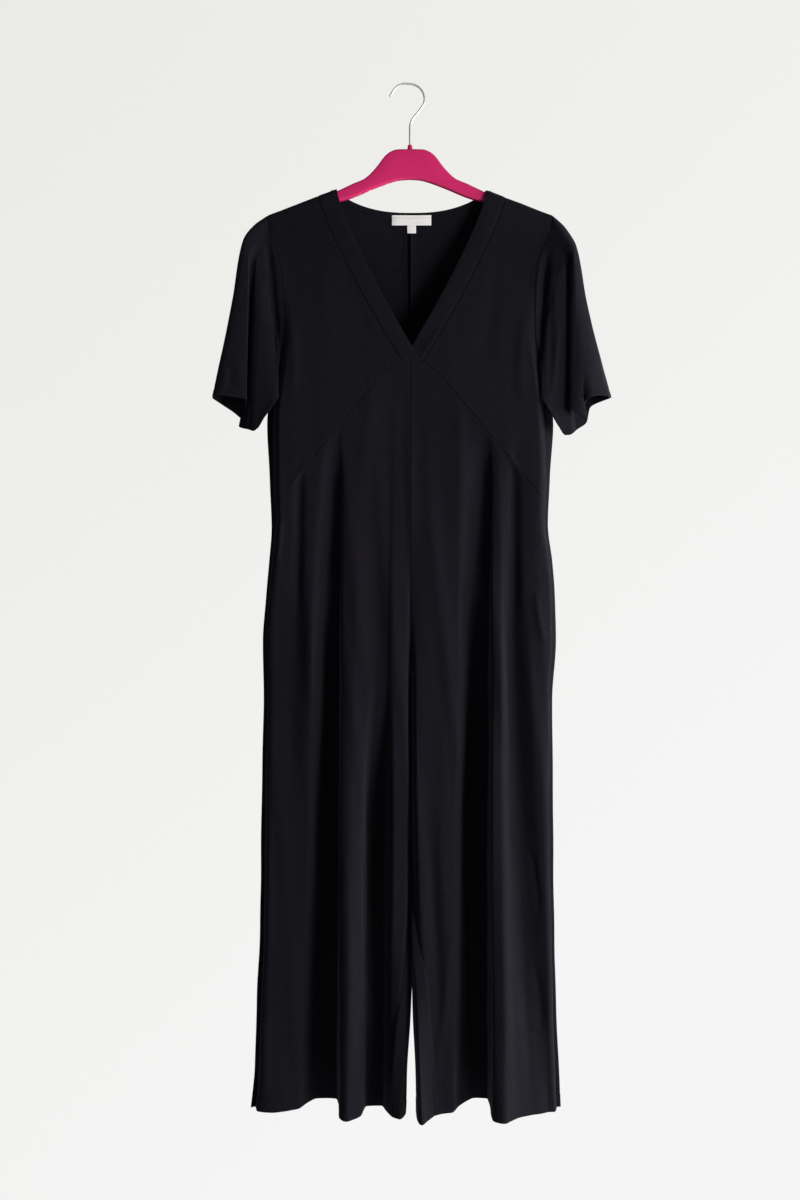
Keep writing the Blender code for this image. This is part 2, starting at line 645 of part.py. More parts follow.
def back_band_points(back_left, back_right):
    """The back neck band, from its seam with the back panels up to its free edge."""
    left = back_left.points[0, neck_columns(back_left)]
    right = back_right.points[0, neck_columns(back_right)]
    seam = np.concatenate([left, right[::-1][1:]])
    share = np.clip((seam[:, 0] - NECK_CENTRE) / (BACK_NECK_REACH + BACK_BAND_WIDTH), -1.0, 1.0)
    across = NECK_CENTRE + BACK_NECK_REACH * share
    height = np.minimum(neck_curve(share, BACK_NECK_DROP), ridge_height(across))
    middle_across = (across + seam[:, 0]) / 2
    middle_height = np.minimum((height + seam[:, 2]) / 2, ridge_height(middle_across))
    rows = []
    for x, z in ((across, height), (middle_across, middle_height), (seam[:, 0], seam[:, 2])):
        rows.append(np.stack([x, plain_depth("back", x, z), z], axis=-1))
    return np.array(rows)


def sleeve_points(side, bodice, back):
    """A sleeve: a ring round the armhole, spread over the cap and down to its folded hem."""
    table = SLEEVE_LEFT if side < 0 else SLEEVE_RIGHT
    front = bodice.points[: UNDERARM_ROW + 1, 0]
    rear = back.points[1:UNDERARM_ROW, 0][::-1]
    armhole = np.concatenate([front, rear])
    following = np.roll(armhole, -1, axis=0)
    armhole = np.stack([armhole, (armhole + following) / 2], axis=1).reshape(-1, 3)
    places = np.arange(len(armhole)) / len(armhole)
    rings = [armhole]
    stops = column(table, "place")
    for name in ("cap", "hem"):
        values = np.array(column(table, name)).T
        ring = np.stack([smooth(stops, each, places) for each in values], axis=-1)
        ring[:, 0] *= side
        rings.append(ring)
    rings.insert(2, rings[1] + (rings[2] - rings[1]) * MIDDLE_SHARES)
    rings = np.array(rings)
    stops = (0.0, SLEEVE_CAP, SLEEVE_MIDDLE, 1.0)
    points = np.zeros((len(SLEEVE_ROWS), len(armhole), 3))
    for index in range(len(armhole)):
        for axis in range(3):
            points[:, index, axis] = smooth(stops, rings[:, index, axis], SLEEVE_ROWS)
    return points


def label_points(width, high, low):
    """A label's outer face, lying on the inside of the back neck."""
    across = np.linspace(-width / 2, width / 2, LABEL_COLUMNS) + NECK_CENTRE
    height = np.linspace(high, low, LABEL_ROWS)
    x, z = np.meshgrid(across, height)
    y = plain_depth("back", x, z) - CLOTH - LABEL_LIFT - LABEL_CLOTH
    return np.stack([x, y, z], axis=-1)


# ---------------------------------------------------------------------------------------------
# Panels and walls
# ---------------------------------------------------------------------------------------------


class Panel:
    """A piece of cloth: its outer points as rows and columns, and the outward way at each.

    It faces the way given or, as a ring, away from the middle of each row."""

    def __init__(self, name, points, faces=None):
        self.name = name
        self.points = np.array(points, float)
        self.ring = faces is None
        self.ways = self.outward()
        seen = self.points - self.points.mean(axis=1, keepdims=True) if self.ring else np.asarray(faces)
        self.reversed = bool((self.ways * seen).sum() < 0)
        if self.reversed:
            self.ways = -self.ways

    def outward(self):
        down = np.gradient(self.points, axis=0)
        if self.ring:
            wrapped = np.concatenate([self.points[:, -1:], self.points, self.points[:, :1]], axis=1)
            across = np.gradient(wrapped, axis=1)[:, 1:-1]
        else:
            across = np.gradient(self.points, axis=1)
        ways = np.cross(down, across)
        return ways / np.linalg.norm(ways, axis=2, keepdims=True)

    def draw_back(self, edge, gap=SEAM_GAP / 2, rows=slice(None)):
        """Moves one edge's points towards the row or column inside it."""
        line, inside = {
            "top": (self.points[0], self.points[1]),
            "foot": (self.points[-1], self.points[-2]),
            "outer": (self.points[:, 0], self.points[:, 1]),
            "inner": (self.points[:, -1], self.points[:, -2]),
        }[edge]
        way = (inside - line) / np.linalg.norm(inside - line, axis=1, keepdims=True)
        line[rows] += way[rows] * gap


def sew(first, first_edge, second, second_edge):
    """Gives two sewn edges the mean of their outward ways, so that their rims lie face to face."""
    mean = first.ways[first_edge] + second.ways[second_edge]
    mean /= np.linalg.norm(mean, axis=-1, keepdims=True)
    first.ways[first_edge] = mean
    second.ways[second_edge] = mean


def rim_faces(points, first, second, count):
    """Two triangles across a wall's edge, parted along the shorter diagonal, so that the rims of
    two sewn pieces are parted alike."""
    third, fourth = second + count, first + count
    if math.dist(points[first], points[third]) <= math.dist(points[second], points[fourth]):
        return [(first, second, third), (first, third, fourth)]
    return [(first, second, fourth), (second, third, fourth)]


def wall_faces(points, rows, columns, ring):
    """Triangles of a closed wall whose outer points come first and inner points second."""
    faces = []
    count = rows * columns
    last = columns if ring else columns - 1
    for i in range(rows - 1):
        for j in range(last):
            a, d = i * columns + j, i * columns + (j + 1) % columns
            b, c = a + columns, d + columns
            faces += [(a, b, c), (a, c, d)]
            faces += [(count + a, count + c, count + b), (count + a, count + d, count + c)]
    foot = (rows - 1) * columns
    for j in range(last):
        following = (j + 1) % columns
        faces += rim_faces(points, j, following, count)
        faces += rim_faces(points, foot + following, foot + j, count)
    if not ring:
        for i in range(rows - 1):
            faces += rim_faces(points, (i + 1) * columns, i * columns, count)
            faces += rim_faces(points, (i + 1) * columns - 1, (i + 2) * columns - 1, count)
    return faces


def add_wall(panel, thickness, material):
    """Makes a panel's wall, grown inwards from its outer points, as one mesh object."""
    rows, columns = panel.points.shape[:2]
    inner = panel.points - panel.ways * thickness
    points = np.concatenate([panel.points.reshape(-1, 3), inner.reshape(-1, 3)]) * MM
    faces = wall_faces(points, rows, columns, panel.ring)
    if panel.reversed:
        faces = [face[::-1] for face in faces]
    return add_mesh(panel.name, points, faces, material)


def add_mesh(name, points, faces, material):
    mesh = bpy.data.meshes.new(name)
    mesh.from_pydata([tuple(point) for point in points], [], faces)
    mesh.validate()
    mesh.materials.append(material)
    mesh.shade_smooth()
    mesh.set_sharp_from_angle(angle=math.radians(50))
    obj = bpy.data.objects.new(name, mesh)
    bpy.context.scene.collection.objects.link(obj)
    return obj


def make_material(name, colour, roughness, metallic=0.0):
    material = bpy.data.materials.new(name)
    material.use_nodes = True
    shader = material.node_tree.nodes["Principled BSDF"]
    shader.inputs["Base Color"].default_value = (*colour, 1.0)
    shader.inputs["Roughness"].default_value = roughness
    shader.inputs["Metallic"].default_value = metallic
    return material


# ---------------------------------------------------------------------------------------------
# The pieces
# ---------------------------------------------------------------------------------------------


def add_garment(jersey, tape):
    """Every cloth piece: the grids are made first, then sewn, drawn back from their seams and
    given their thickness."""
    front, rear = (0.0, -1.0, 0.0), (0.0, 1.0, 0.0)
    legs, bodices, bands, backs, sleeves = {}, {}, {}, {}, {}
    for side, word in ((-1, "left"), (1, "right")):
        legs[side] = Panel(f"leg_front_{word}", leg_front_points(side)[0], front)
        bodices[side] = Panel(f"bodice_front_{word}", bodice_points(side), front)
        bands[side] = Panel(f"neckband_front_{word}", band_points(side), front)
        backs[side] = Panel(f"back_{word}", back_points(side), rear)
        sleeves[side] = Panel(f"sleeve_{word}", sleeve_points(side, bodices[side], backs[side]))
    back_band = Panel("neckband_back", back_band_points(backs[-1], backs[1]), rear)
    pockets = [pocket for side in (-1, 1) for pocket in pocket_panels(side, legs[side])]
    sew_garment(legs, bodices, bands, backs, sleeves, back_band)
    draw_back_seams(legs, bodices, bands, backs, sleeves, back_band)
    for group in (legs, bodices, bands, backs, sleeves):
        for panel in group.values():
            add_wall(panel, CLOTH, jersey)
    add_wall(back_band, CLOTH, jersey)
    for pocket in pockets:
        add_wall(pocket, POCKET_CLOTH, jersey)
    label_foot = LABEL_TOP - LABEL_HEIGHT
    tab_top = label_foot - SEAM_GAP
    label = label_points(LABEL_WIDTH, LABEL_TOP, label_foot)
    tab = label_points(TAB_WIDTH, tab_top, tab_top - TAB_HEIGHT)
    add_wall(Panel("neck_label", label, front), LABEL_CLOTH, tape)
    add_wall(Panel("size_tab", tab, front), LABEL_CLOTH, tape)


def neck_columns(back):
    """The columns of a back panel's upper edge that are sewn to the neck band."""
    reach = BACK_NECK_REACH + BACK_BAND_WIDTH + COLUMN_TOLERANCE
    return np.flatnonzero(np.abs(back.points[0, :, 0] - NECK_CENTRE) <= reach)


def sew_garment(legs, bodices, bands, backs, sleeves, back_band):
    upper = len(UPPER_ROWS)
    crotch = LOWER_ROWS.index(CROTCH_SHARE)
    rows = slice(None)
    for side in (-1, 1):
        leg, bodice, band, back, sleeve = (group[side] for group in (legs, bodices, bands, backs, sleeves))
        last = bodice.points.shape[1]
        sew(leg, (0, slice(0, last)), bodice, (-1, slice(0, last)))
        sew(bodice, (rows, -1), band, (rows, 0))
        sew(leg, (rows, 0), back, (slice(upper - 1, None), 0))
        sew(leg, (slice(crotch, None), -1), back, (slice(upper - 1 + crotch, None), -1))
        sew(bodice, (slice(UNDERARM_ROW, None), 0), back, (slice(UNDERARM_ROW, upper), 0))
        bodice.ways[0] = SHOULDER_WAY
        band.ways[0] = SHOULDER_WAY
        ring = np.concatenate([bodice.ways[: UNDERARM_ROW + 1, 0], back.ways[1:UNDERARM_ROW, 0][::-1]])
        between = ring + np.roll(ring, -1, axis=0)
        between /= np.linalg.norm(between, axis=1, keepdims=True)
        sleeve.ways[0] = np.stack([ring, between], axis=1).reshape(-1, 3)
    sew(legs[-1], (slice(0, crotch), -1), legs[1], (slice(0, crotch), -1))
    sew(backs[-1], (slice(0, upper - 1 + crotch), -1), backs[1], (slice(0, upper - 1 + crotch), -1))
    left_neck = neck_columns(backs[-1])
    right_neck = neck_columns(backs[1])
    sew(back_band, (-1, slice(0, len(left_neck))), backs[-1], (0, left_neck))
    sew(back_band, (-1, slice(-1, -len(right_neck) - 1, -1)), backs[1], (0, right_neck))
    back_band.ways[:, [0, -1]] = SHOULDER_WAY
    backs[-1].ways[0, : left_neck[0] + 1] = SHOULDER_WAY
    backs[1].ways[0, : right_neck[0] + 1] = SHOULDER_WAY


def draw_back_seams(legs, bodices, bands, backs, sleeves, back_band):
    for side in (-1, 1):
        for panel, edges in (
            (legs[side], ("top", "outer", "inner")),
            (bodices[side], ("top", "foot", "outer", "inner")),
            (bands[side], ("top", "outer")),
            (backs[side], ("top", "outer", "inner")),
            (sleeves[side], ("top",)),
        ):
            for edge in edges:
                panel.draw_back(edge)
        bands[side].draw_back("foot", BAND_FOOT_GAP)
        legs[side].draw_back("outer", POCKET_EASE, MOUTH_ROWS)
    for edge in ("foot", "outer", "inner"):
        back_band.draw_back(edge)


def pocket_panels(side, leg):
    """Two pocket bags, one behind the other, made from the front leg's points and moved inwards."""
    word = "left" if side < 0 else "right"
    panels = []
    for name, lift in (
        (f"pocket_outer_{word}", CLOTH + SEAM_GAP),
        (f"pocket_inner_{word}", CLOTH + POCKET_CLOTH + 2 * SEAM_GAP),
    ):
        points = leg.points[POCKET_ROWS, POCKET_COLUMNS] - leg.ways[POCKET_ROWS, POCKET_COLUMNS] * lift
        panel = Panel(name, points, (0.0, -1.0, 0.0))
        panel.draw_back("outer", POCKET_SETBACK)
        panels.append(panel)
    return panels


def add_hanger(plastic, steel):
    """The moulded body with a boss for the stem, and the bent wire hook."""
    tip_height = ridge_height(HANGER_REACH) - CLOTH - HANGER_CLEARANCE
    arm_height = ridge_height(NECK_POINT[0]) - CLOTH - HANGER_CLEARANCE
    upper = [tuple(edge) for edge in HANGER_TOP] + [(NECK_POINT[0], arm_height), (HANGER_REACH, tip_height)]
    lower = [tuple(edge) for edge in HANGER_FOOT] + [(HANGER_REACH, tip_height - HANGER_TIP_HEIGHT)]
    half = upper + lower[::-1]
    outline = half + [(-across, height) for across, height in half[:0:-1] if across > 0]
    count = len(outline)
    points = [(x * MM, y * MM, z * MM) for y in (-HANGER_HALF_DEPTH, HANGER_HALF_DEPTH) for x, z in outline]
    faces = [tuple(range(count)), tuple(range(2 * count - 1, count - 1, -1))]
    faces += [(i, count + i, count + (i + 1) % count, (i + 1) % count) for i in range(count)]
    body = add_mesh("hanger_body", points, faces, plastic)
    bevel = body.modifiers.new("rounded edges", "BEVEL")
    bevel.width = HANGER_EDGE * MM
    bevel.segments = 2
    bevel.limit_method = "ANGLE"
    bevel.angle_limit = math.radians(60)
    boss = add_cone("boss", BOSS_RADIUS, BOSS_TIP_RADIUS, BOSS_FOOT, BOSS_TOP, plastic)
    hole_foot, hole_top = STEM_FOOT - STEM_CLEARANCE, BOSS_TOP + HOLE_OVERSHOOT
    hole = add_cone("stem hole", HOLE_RADIUS, HOLE_RADIUS, hole_foot, hole_top, plastic)
    for helper, operation in ((boss, "UNION"), (hole, "DIFFERENCE")):
        helper.hide_render = True
        helper.display_type = "WIRE"
        boolean = body.modifiers.new(helper.name, "BOOLEAN")
        boolean.operation = operation
        boolean.object = helper
    add_hook(steel)


def add_cone(name, foot_radius, top_radius, foot, top, material):
    bpy.ops.mesh.primitive_cone_add(
        vertices=12,
        radius1=foot_radius * MM,
        radius2=top_radius * MM,
        depth=(top - foot) * MM,
        location=(0.0, 0.0, (top + foot) / 2 * MM),
    )
    cone = bpy.context.object
    cone.name = name
    cone.data.materials.append(material)
    return cone


def add_hook(steel):
    curve = bpy.data.curves.new("hanger_hook", "CURVE")
    curve.dimensions = "3D"
    curve.bevel_depth = WIRE / 2 * MM
    curve.bevel_resolution = 2
    curve.resolution_u = 3
    curve.use_fill_caps = True
    spline = curve.splines.new("BEZIER")
    spline.bezier_points.add(len(HOOK_PATH) - 1)
    for point, (x, z) in zip(spline.bezier_points, HOOK_PATH):
        point.co = (x * MM, 0.0, z * MM)
        point.handle_left_type = point.handle_right_type = "AUTO"
    curve.materials.append(steel)
    hook = bpy.data.objects.new("hanger_hook", curve)
    bpy.context.scene.collection.objects.link(hook)


def main():
    for obj in list(bpy.data.objects):
        bpy.data.objects.remove(obj)
    jersey = make_material("black jersey", (0.008, 0.0075, 0.011), 0.85)
    tape = make_material("white woven tape", (0.78, 0.77, 0.74), 0.8)
    plastic = make_material("pink plastic", (0.52, 0.03, 0.11), 0.35)
    steel = make_material("hook steel", (0.75, 0.76, 0.78), 0.25, 1.0)
    add_garment(jersey, tape)
    add_hanger(plastic, steel)


main()
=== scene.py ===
"""A short-sleeved, wide-legged jersey jumpsuit hanging on a moulded hanger: its looks.

Lengths are millimetres until a mesh is made. +X is the viewer's right, the front faces -Y, +Z is up,
and the origin is the underside of the hook's top, where the hanger rests on its nail.
Every cloth piece is a grid of points on the garment's outer surface: columns run across the piece
and rows run down it. The grids are sewn together, creased, drawn back from their seams and walled.
"""

import math
from collections import namedtuple
from functools import lru_cache

import bmesh
import bpy
import numpy as np
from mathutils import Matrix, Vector


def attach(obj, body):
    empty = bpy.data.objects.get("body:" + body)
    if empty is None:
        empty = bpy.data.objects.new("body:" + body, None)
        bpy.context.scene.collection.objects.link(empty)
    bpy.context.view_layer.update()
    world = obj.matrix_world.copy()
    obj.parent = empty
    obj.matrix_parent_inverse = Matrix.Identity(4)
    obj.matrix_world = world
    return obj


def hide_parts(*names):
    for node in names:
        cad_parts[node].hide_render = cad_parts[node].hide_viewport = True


bl_info = {
    "name": "Jumpsuit on a hanger",
    "version": (1, 0, 0),
    "blender": (4, 5, 0),
    "location": "3D View > Sidebar > Jumpsuit",
    "description": "Makes a jersey jumpsuit, its hanger and a pale studio",
    "category": "Object",
}

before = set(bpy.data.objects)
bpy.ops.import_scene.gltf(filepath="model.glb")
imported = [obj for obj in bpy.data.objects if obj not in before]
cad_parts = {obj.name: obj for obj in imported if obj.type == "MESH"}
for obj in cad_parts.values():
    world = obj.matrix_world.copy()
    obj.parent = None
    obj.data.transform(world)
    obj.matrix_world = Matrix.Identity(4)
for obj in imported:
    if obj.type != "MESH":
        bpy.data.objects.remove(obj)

MM = 0.001

# Cloth and seams
CLOTH = 1.3
POCKET_CLOTH = 0.8
LABEL_CLOTH = 0.5
SEAM_GAP = 0.3
BAND_FOOT_GAP = 0.5
COLUMN_TOLERANCE = 0.01

# Shoulders: a straight ridge that falls from the neck point to the armhole
NECK_POINT = (107.0, -152.0)
SHOULDER_SLOPE = 0.386
SHOULDER_TIP = 207.0
SHOULDER_WAY = (0.0, 0.0, 1.0)
RIDGE_RADIUS = 9.0
RIDGE_EASE = 80.0
EDGE_EASE = 30.0
SHOULDER_END = NECK_POINT[1] - SHOULDER_SLOPE * (SHOULDER_TIP - NECK_POINT[0])
NECK_CENTRE = 2.4

# Front neck bands: control points of their edges, as (distance from the neck's centre, height).
# A band crosses the centre at the foot of the V, where the viewer's left one lies over the right.
BAND_INNER = ((109.6, -152.0), (101.0, -205.0), (42.0, -320.0), (-12.5, -406.0))
BAND_OUTER = ((137.0, -163.5), (122.0, -215.0), (68.0, -325.0), (15.0, -408.0))
BAND_COLUMNS = 3
BAND_END_FADE = 8
BAND_UNDERLAP = 1.8
UNDERLAP_FROM = -345.0
UNDERLAP_FULL = -378.0
UNDERLAP_WIDTH = 0.7

# Back neck: a shallow curve below the shoulder line, edged by a narrow band
BACK_NECK_REACH = 109.6
BACK_NECK_DROP = 31.5
BACK_NECK_POWERS = (2.5, 0.9)
BACK_BAND_WIDTH = 8.0

# Empire seam: an apex at the foot of the V, then straight falls to the side seams
EMPIRE_TOP = -406.0
EMPIRE_SLOPE = 1.225
EMPIRE_APEX = 27.0
EMPIRE_SIDE = -610.0

UNDERARM = -431.0
HEM = -1484.0

# Hanger
HANGER_REACH = 196.0
HANGER_HALF_DEPTH = 4.5
HANGER_EDGE = 3.0
HANGER_CLEARANCE = 2.4
WIRE = 3.0
STEM_FOOT = -108.0
STEM_CLEARANCE = 0.3

# The viewer's left and right, and the ways that the front and the back face
WORDS = {-1: "left", 1: "right"}
FORWARDS, BACKWARDS = (0.0, -1.0, 0.0), (0.0, 1.0, 0.0)


def listed(kind, rows):
    return tuple(kind(*row) for row in rows)


# Half widths at one height: of the seam or armhole, and of the outline, on each side
Side = namedtuple("Side", "height seam_left seam_right outline_left outline_right")
SIDES = listed(Side, (
    (SHOULDER_END, SHOULDER_TIP, SHOULDER_TIP, 202, 202), (-212, 204.5, 203, 199.5, 198.5),
    (-260, 188.5, 184.5, 184, 180), (-305, 182, 178.5, 177.5, 174), (-360, 181, 178.5, 177.5, 175.5),
    (-402, 186, 184, 187, 185), (-431, 191, 189, 198, 197), (-494, 198, 194.5, 207, 208),
    (-574, 197.5, 197, 203.2, 202.8), (-640, 195.5, 195, 200.5, 199.7), (-694, 199.5, 200.5, 204.2, 205.2),
    (-746, 204.5, 205, 208.9, 209.3), (-808, 208, 206, 213.2, 211.2), (-892, 206.8, 202.2, 212.2, 207.4),
    (-1050, 210.6, 202.2, 216.2, 207.6), (-1213, 211.6, 204.9, 217.2, 210.3),
    (-1311, 215.3, 206.3, 221.2, 211.4), (-1423, 218.8, 210, 224.9, 215.5),
    (-1484, 224.5, 213, 230.5, 218.5),
))

# How far the cloth stands before and behind the hanger's plane at one height
Depth = namedtuple("Depth", "height front back front_edge back_edge")
DEPTHS = listed(Depth, (
    (-152, -12, 12, 0, 0), (-191, -16, 14, 0, 0), (-212, -20, 15, -10, 8), (-260, -25, 17, -19, 13),
    (-305, -28, 19, -24, 15), (-360, -31, 21, -24, 15), (-402, -33, 22, -18, 7), (-431, -34, 23, -8, -8),
    (-500, -35, 25, -12, -12), (-620, -34, 28, -14, -14), (-843, -32, 31, -13, -13),
    (-1103, -28, 34, -9, -9), (-1484, -24, 37, -5, -5),
))
EDGE_ROUNDING = 12.0
EDGE_FILL, EDGE_FILL_WIDTH = 0.65, 2.4
OUTLINE_DEPTHS = {-1: -6.0, 1: -4.0}
FOLD_ONSET = 0.3

HIP = -840.0
KNEE = -1100.0

# A ridge or valley that runs down a panel: how far from the centre line it lies where the panel
# starts and at hip, knee and hem, its depth at hip, knee and hem, and the mesh columns between the
# fold before it and this one
Fold = namedtuple("Fold", "start hip knee hem hip_depth knee_depth hem_depth columns")
# From the side seam, which SIDES gives, to the centre front and inseam
FRONT_FOLDS = {
    -1: listed(Fold, (
        (174.6, 188, 192, 198.5, -23, -27.5, -24, 2), (155, 168, 172, 180, -22, -26, -21, 1),
        (132, 142.5, 147, 163, -31, -24.5, -13, 2), (113, 117.5, 122, 136, -4, 13, 24, 2),
        (104, 104.5, 106.5, 109, -6, 10, 23, 1), (95, 96.5, 99, 100.5, -35.5, -42.5, -43, 2),
        (72, 80, 86, 89, -39, -47.5, -54, 2), (49, 58.5, 69, 70, -34, -40, -33, 1),
        (41, 47.5, 62, 63, -32.5, -3, -3, 1), (28, 34, 41.5, 42, -34, 1, -1, 2),
        (21, 24, 24, 34, -38, -36.5, -20, 1), (14, 5, 6, 28.5, -35, -33.5, -33, 1),
    )),
    1: listed(Fold, (
        (168, 175, 185, 197, -28.5, -34, -24.5, 2), (146, 149.5, 158, 175, -18, -25.5, -30.5, 2),
        (137, 141, 145, 151, -23, -31, -43.5, 1), (126, 129, 130, 133, -40, -46, -60, 1),
        (117, 117.5, 117, 117, -38, -47, -50, 1), (109.8, 112.5, 112.5, 114, -6, 11, 23.5, 2),
        (96, 90, 87, 95, -3, 13, 25, 1), (68, 69, 62, 60, -33.5, -35, -24, 2),
        (46, 48, 45, 54, -36.5, -38, -26, 2), (28, 26, 31, 46, -37.2, -36.5, -28, 2),
        (12, 9, 12, 40, -36, -38.5, -31, 1),
    )),
}

# The inner edge of one leg's panels at one height: how far from the centre line it lies, and its
# depth on the front panel and on the back panel. The two meet from the crotch down
Inner = namedtuple("Inner", "height across front back")
INNER_TOP = (
    (EMPIRE_TOP, 0, -32, 21.7), (-620, 0, -34, 28), (-790, 0, -31, 29), (-840, 0, -21, 20), (-885, 0, 2, 2),
    (-960, 1, 0, 0),
)
INNER_EDGES = {
    -1: listed(Inner, (
        *INNER_TOP,
        (-1100, 1.5, -14, -14), (-1246, 6, -28, -28), (-1406, 24, -38, -38), (-1484, 25.5, -39, -39),
    )),
    1: listed(Inner, (
        *INNER_TOP,
        (-1100, 3.5, -12, -12), (-1206, 8, -31, -31), (-1308, 26, -38.5, -38.5), (-1484, 35, -35, -35),
    )),
}

SIDE_COLUMNS = (2, 2)
TURN_COLUMNS = (2, 2, 2, 1)
CENTRE_COLUMNS = 2
CORNER_REACH = 12.0
CORNER_EASE = 6.0
UNDERARM_TURN = -380.0

# From the flat beside the outline to the last fold before the leg's inner side. The fold numbered
# NECK_FOLD starts at the corner where the shoulder meets the back neck band
NECK_FOLD = 1
BACK_FOLDS = {
    -1: listed(Fold, (
        (150, 182, 186, 190, 33, 38, 40, 2), (115.2, 150, 154, 160, 29, 30, 30, 2),
        (106, 137, 142, 147, 30, 33, 34, 2), (84, 112, 118, 122, 32, 38, 43, 2),
        (62, 74, 80, 84, 29, 29, 29, 2), (40, 44, 48, 52, 33, 36, 41, 2),
    )),
    1: listed(Fold, (
        (150, 176, 176, 182, 32, 36, 41, 2), (120, 140, 142, 146, 29, 29, 30, 2),
        (109, 128, 130, 133, 30, 32, 35, 2), (84, 104, 104, 106, 33, 39, 43, 2),
        (62, 70, 70, 72, 29, 28, 29, 2), (40, 40, 42, 46, 32, 35, 40, 2),
    )),
}

# The back panel's wrap round the inner leg at one height: where it leaves the back, its innermost
# point, and the ridge that it makes on the front of the leg
Turn = namedtuple("Turn", "height corner corner_depth inmost inmost_depth ridge ridge_depth")
TURN_TOP = (
    (EMPIRE_TOP, 22, 21.7, 12, 21.7, 6, 21.7), (-620, 20, 28, 10, 28, 5, 28),
    (-790, 18, 30, 9, 29.5, 4, 29),
)
TURNS = {
    -1: listed(Turn, (
        *TURN_TOP,
        (-885, 10, 29, -4.4, 22, 0.2, 12), (-960, 7, 27, -4.4, 18, 0.6, 9),
        (-1100, 6, 26, -4.4, 10, 0.4, -8), (-1246, 6, 22, -3.6, -4, 1, -25),
        (-1406, 12, 20, 1.6, -14, 10, -38.5), (-1484, 16, 20, 7, -18, 15, -46),
    )),
    1: listed(Turn, (
        *TURN_TOP,
        (-885, 13, 29, 6, 22, 1.6, 12), (-960, 11, 27, 6, 18, 1.6, 9), (-1100, 10, 26, 6, 10, 1.6, -6),
        (-1206, 10, 24, 5.2, -4, 1.6, -29), (-1308, 12, 20, 3, -16, 9, -42),
        (-1406, 16, 20, 6, -16, 13, -56), (-1484, 19, 20, 7.7, -20, 16.6, -64),
    )),
}

# Shares of the way down that the rows of the upper and lower pieces lie at
UPPER_ROWS = (0.0, 0.003, 0.012, 0.028, 0.07, 0.165, 0.272, 0.38, 0.48, 0.573, 0.68, 0.79, 0.9, 1.0)
LOWER_ROWS = (0.0, 0.0195, 0.07, 0.13, 0.2, 0.265, 0.333, 0.392, 0.4443, 0.5, 0.58, 0.67, 0.77, 0.89, 1.0)
CROTCH_SHARE = 0.4443
UNDERARM_ROW = 9
POCKET_ROWS = (1, 6)
MOUTH_OPEN_ROWS = (2, 4)
POCKET_LAST_COLUMN = 7
POCKET_EASE = 2.0
POCKET_SETBACK = 3.0

# A line down a sleeve: its place round the armhole from 0 at the shoulder through 0.5 at the
# underarm, then its distance from the centre line, depth and height at the cap and at the hem, and
# the share of the way down above which a fold isn't there yet
SleeveLine = namedtuple("SleeveLine", "place cap hem starts", defaults=[0.0])
SLEEVES = {
    -1: listed(SleeveLine, (
        (0, (240, -9, -232), (284, -20, -459)), (0.03, (240.3, -22, -233.5), (281.5, -34.5, -457.8)),
        (0.07, (239, -26.5, -236), (272, -38.5, -457)), (0.13, (235.5, -28.5, -246), (252, -37.5, -459.5)),
        (0.18, (231, -28.5, -256), (233, -35.5, -465)), (0.2, (230.5, -18.5, -259), (236, -16, -480), 0.14),
        (0.22, (226, -17, -263), (235.5, -14, -492), 0.14), (0.245, (220.5, -24.5, -270), (230, -32, -505)),
        (0.3, (212, -24.5, -285), (219, -37, -505)), (0.34, (203, -23.5, -305), (208, -37.5, -489)),
        (0.4, (193.5, -22.5, -345), (199, -38, -477)), (0.46, (188, -26, -405), (188, -34, -461)),
        (0.5, (193.5, -14, -435), (201, -17, -466)), (0.6, (205, 10, -385), (227, 5, -502)),
        (0.66, (212, 17, -340), (236, 12, -499)), (0.7, (217, 20, -318), (250, 18, -494)),
        (0.74, (221, 22, -300), (246, 20, -486)), (0.81, (229, 21, -272), (254, 22, -477)),
        (0.88, (235, 16, -247), (268, 18, -467)), (1, (240, -9, -232), (284, -20, -459)),
    )),
    1: listed(SleeveLine, (
        (0, (238, 2, -232), (293, 2, -454)), (0.06, (239.5, -12, -236), (283, -20, -454.5)),
        (0.11, (238, -22, -244), (266, -33, -457)), (0.145, (236, -27.5, -250), (253, -37, -462)),
        (0.165, (235, -29.5, -253), (247, -24, -474), 0.85),
        (0.185, (234.5, -31, -256), (253.5, -32, -490), 0.85),
        (0.205, (233.5, -31, -258), (240, -37, -484)), (0.225, (232, -30.5, -260), (227.5, -34.5, -475)),
        (0.24, (230.5, -16, -263), (230, -13, -488), 0.14),
        (0.258, (225, -15, -267), (238, -14, -503), 0.14), (0.275, (219.5, -26, -273), (232, -24, -510)),
        (0.3, (215, -27.5, -282), (223, -27, -512.5)), (0.33, (208, -28, -298), (213, -30, -501)),
        (0.37, (200, -26, -325), (204, -33, -487)), (0.42, (191, -28, -365), (195, -35, -473)),
        (0.46, (186, -28, -405), (188, -34, -462)), (0.5, (191.5, -14, -435), (200, -17, -466)),
        (0.6, (204, 10, -385), (229, 5, -508)), (0.74, (219, 22, -300), (247, 17, -497)),
        (0.81, (228, 21, -272), (260, 20, -487)), (0.88, (234, 17, -247), (265, 20, -466)),
        (1, (238, 2, -232), (293, 2, -454)),
    )),
}
SLEEVE_CAP = 0.2
FOLD_BEGINS = 0.15
SLEEVE_MIDDLE = 0.5
MIDDLE_SHARES = (0.34, 0.375, 0.375)
SLEEVE_LOW = 0.85
LOW_SHARES = (0.8, 0.8125, 0.8125)

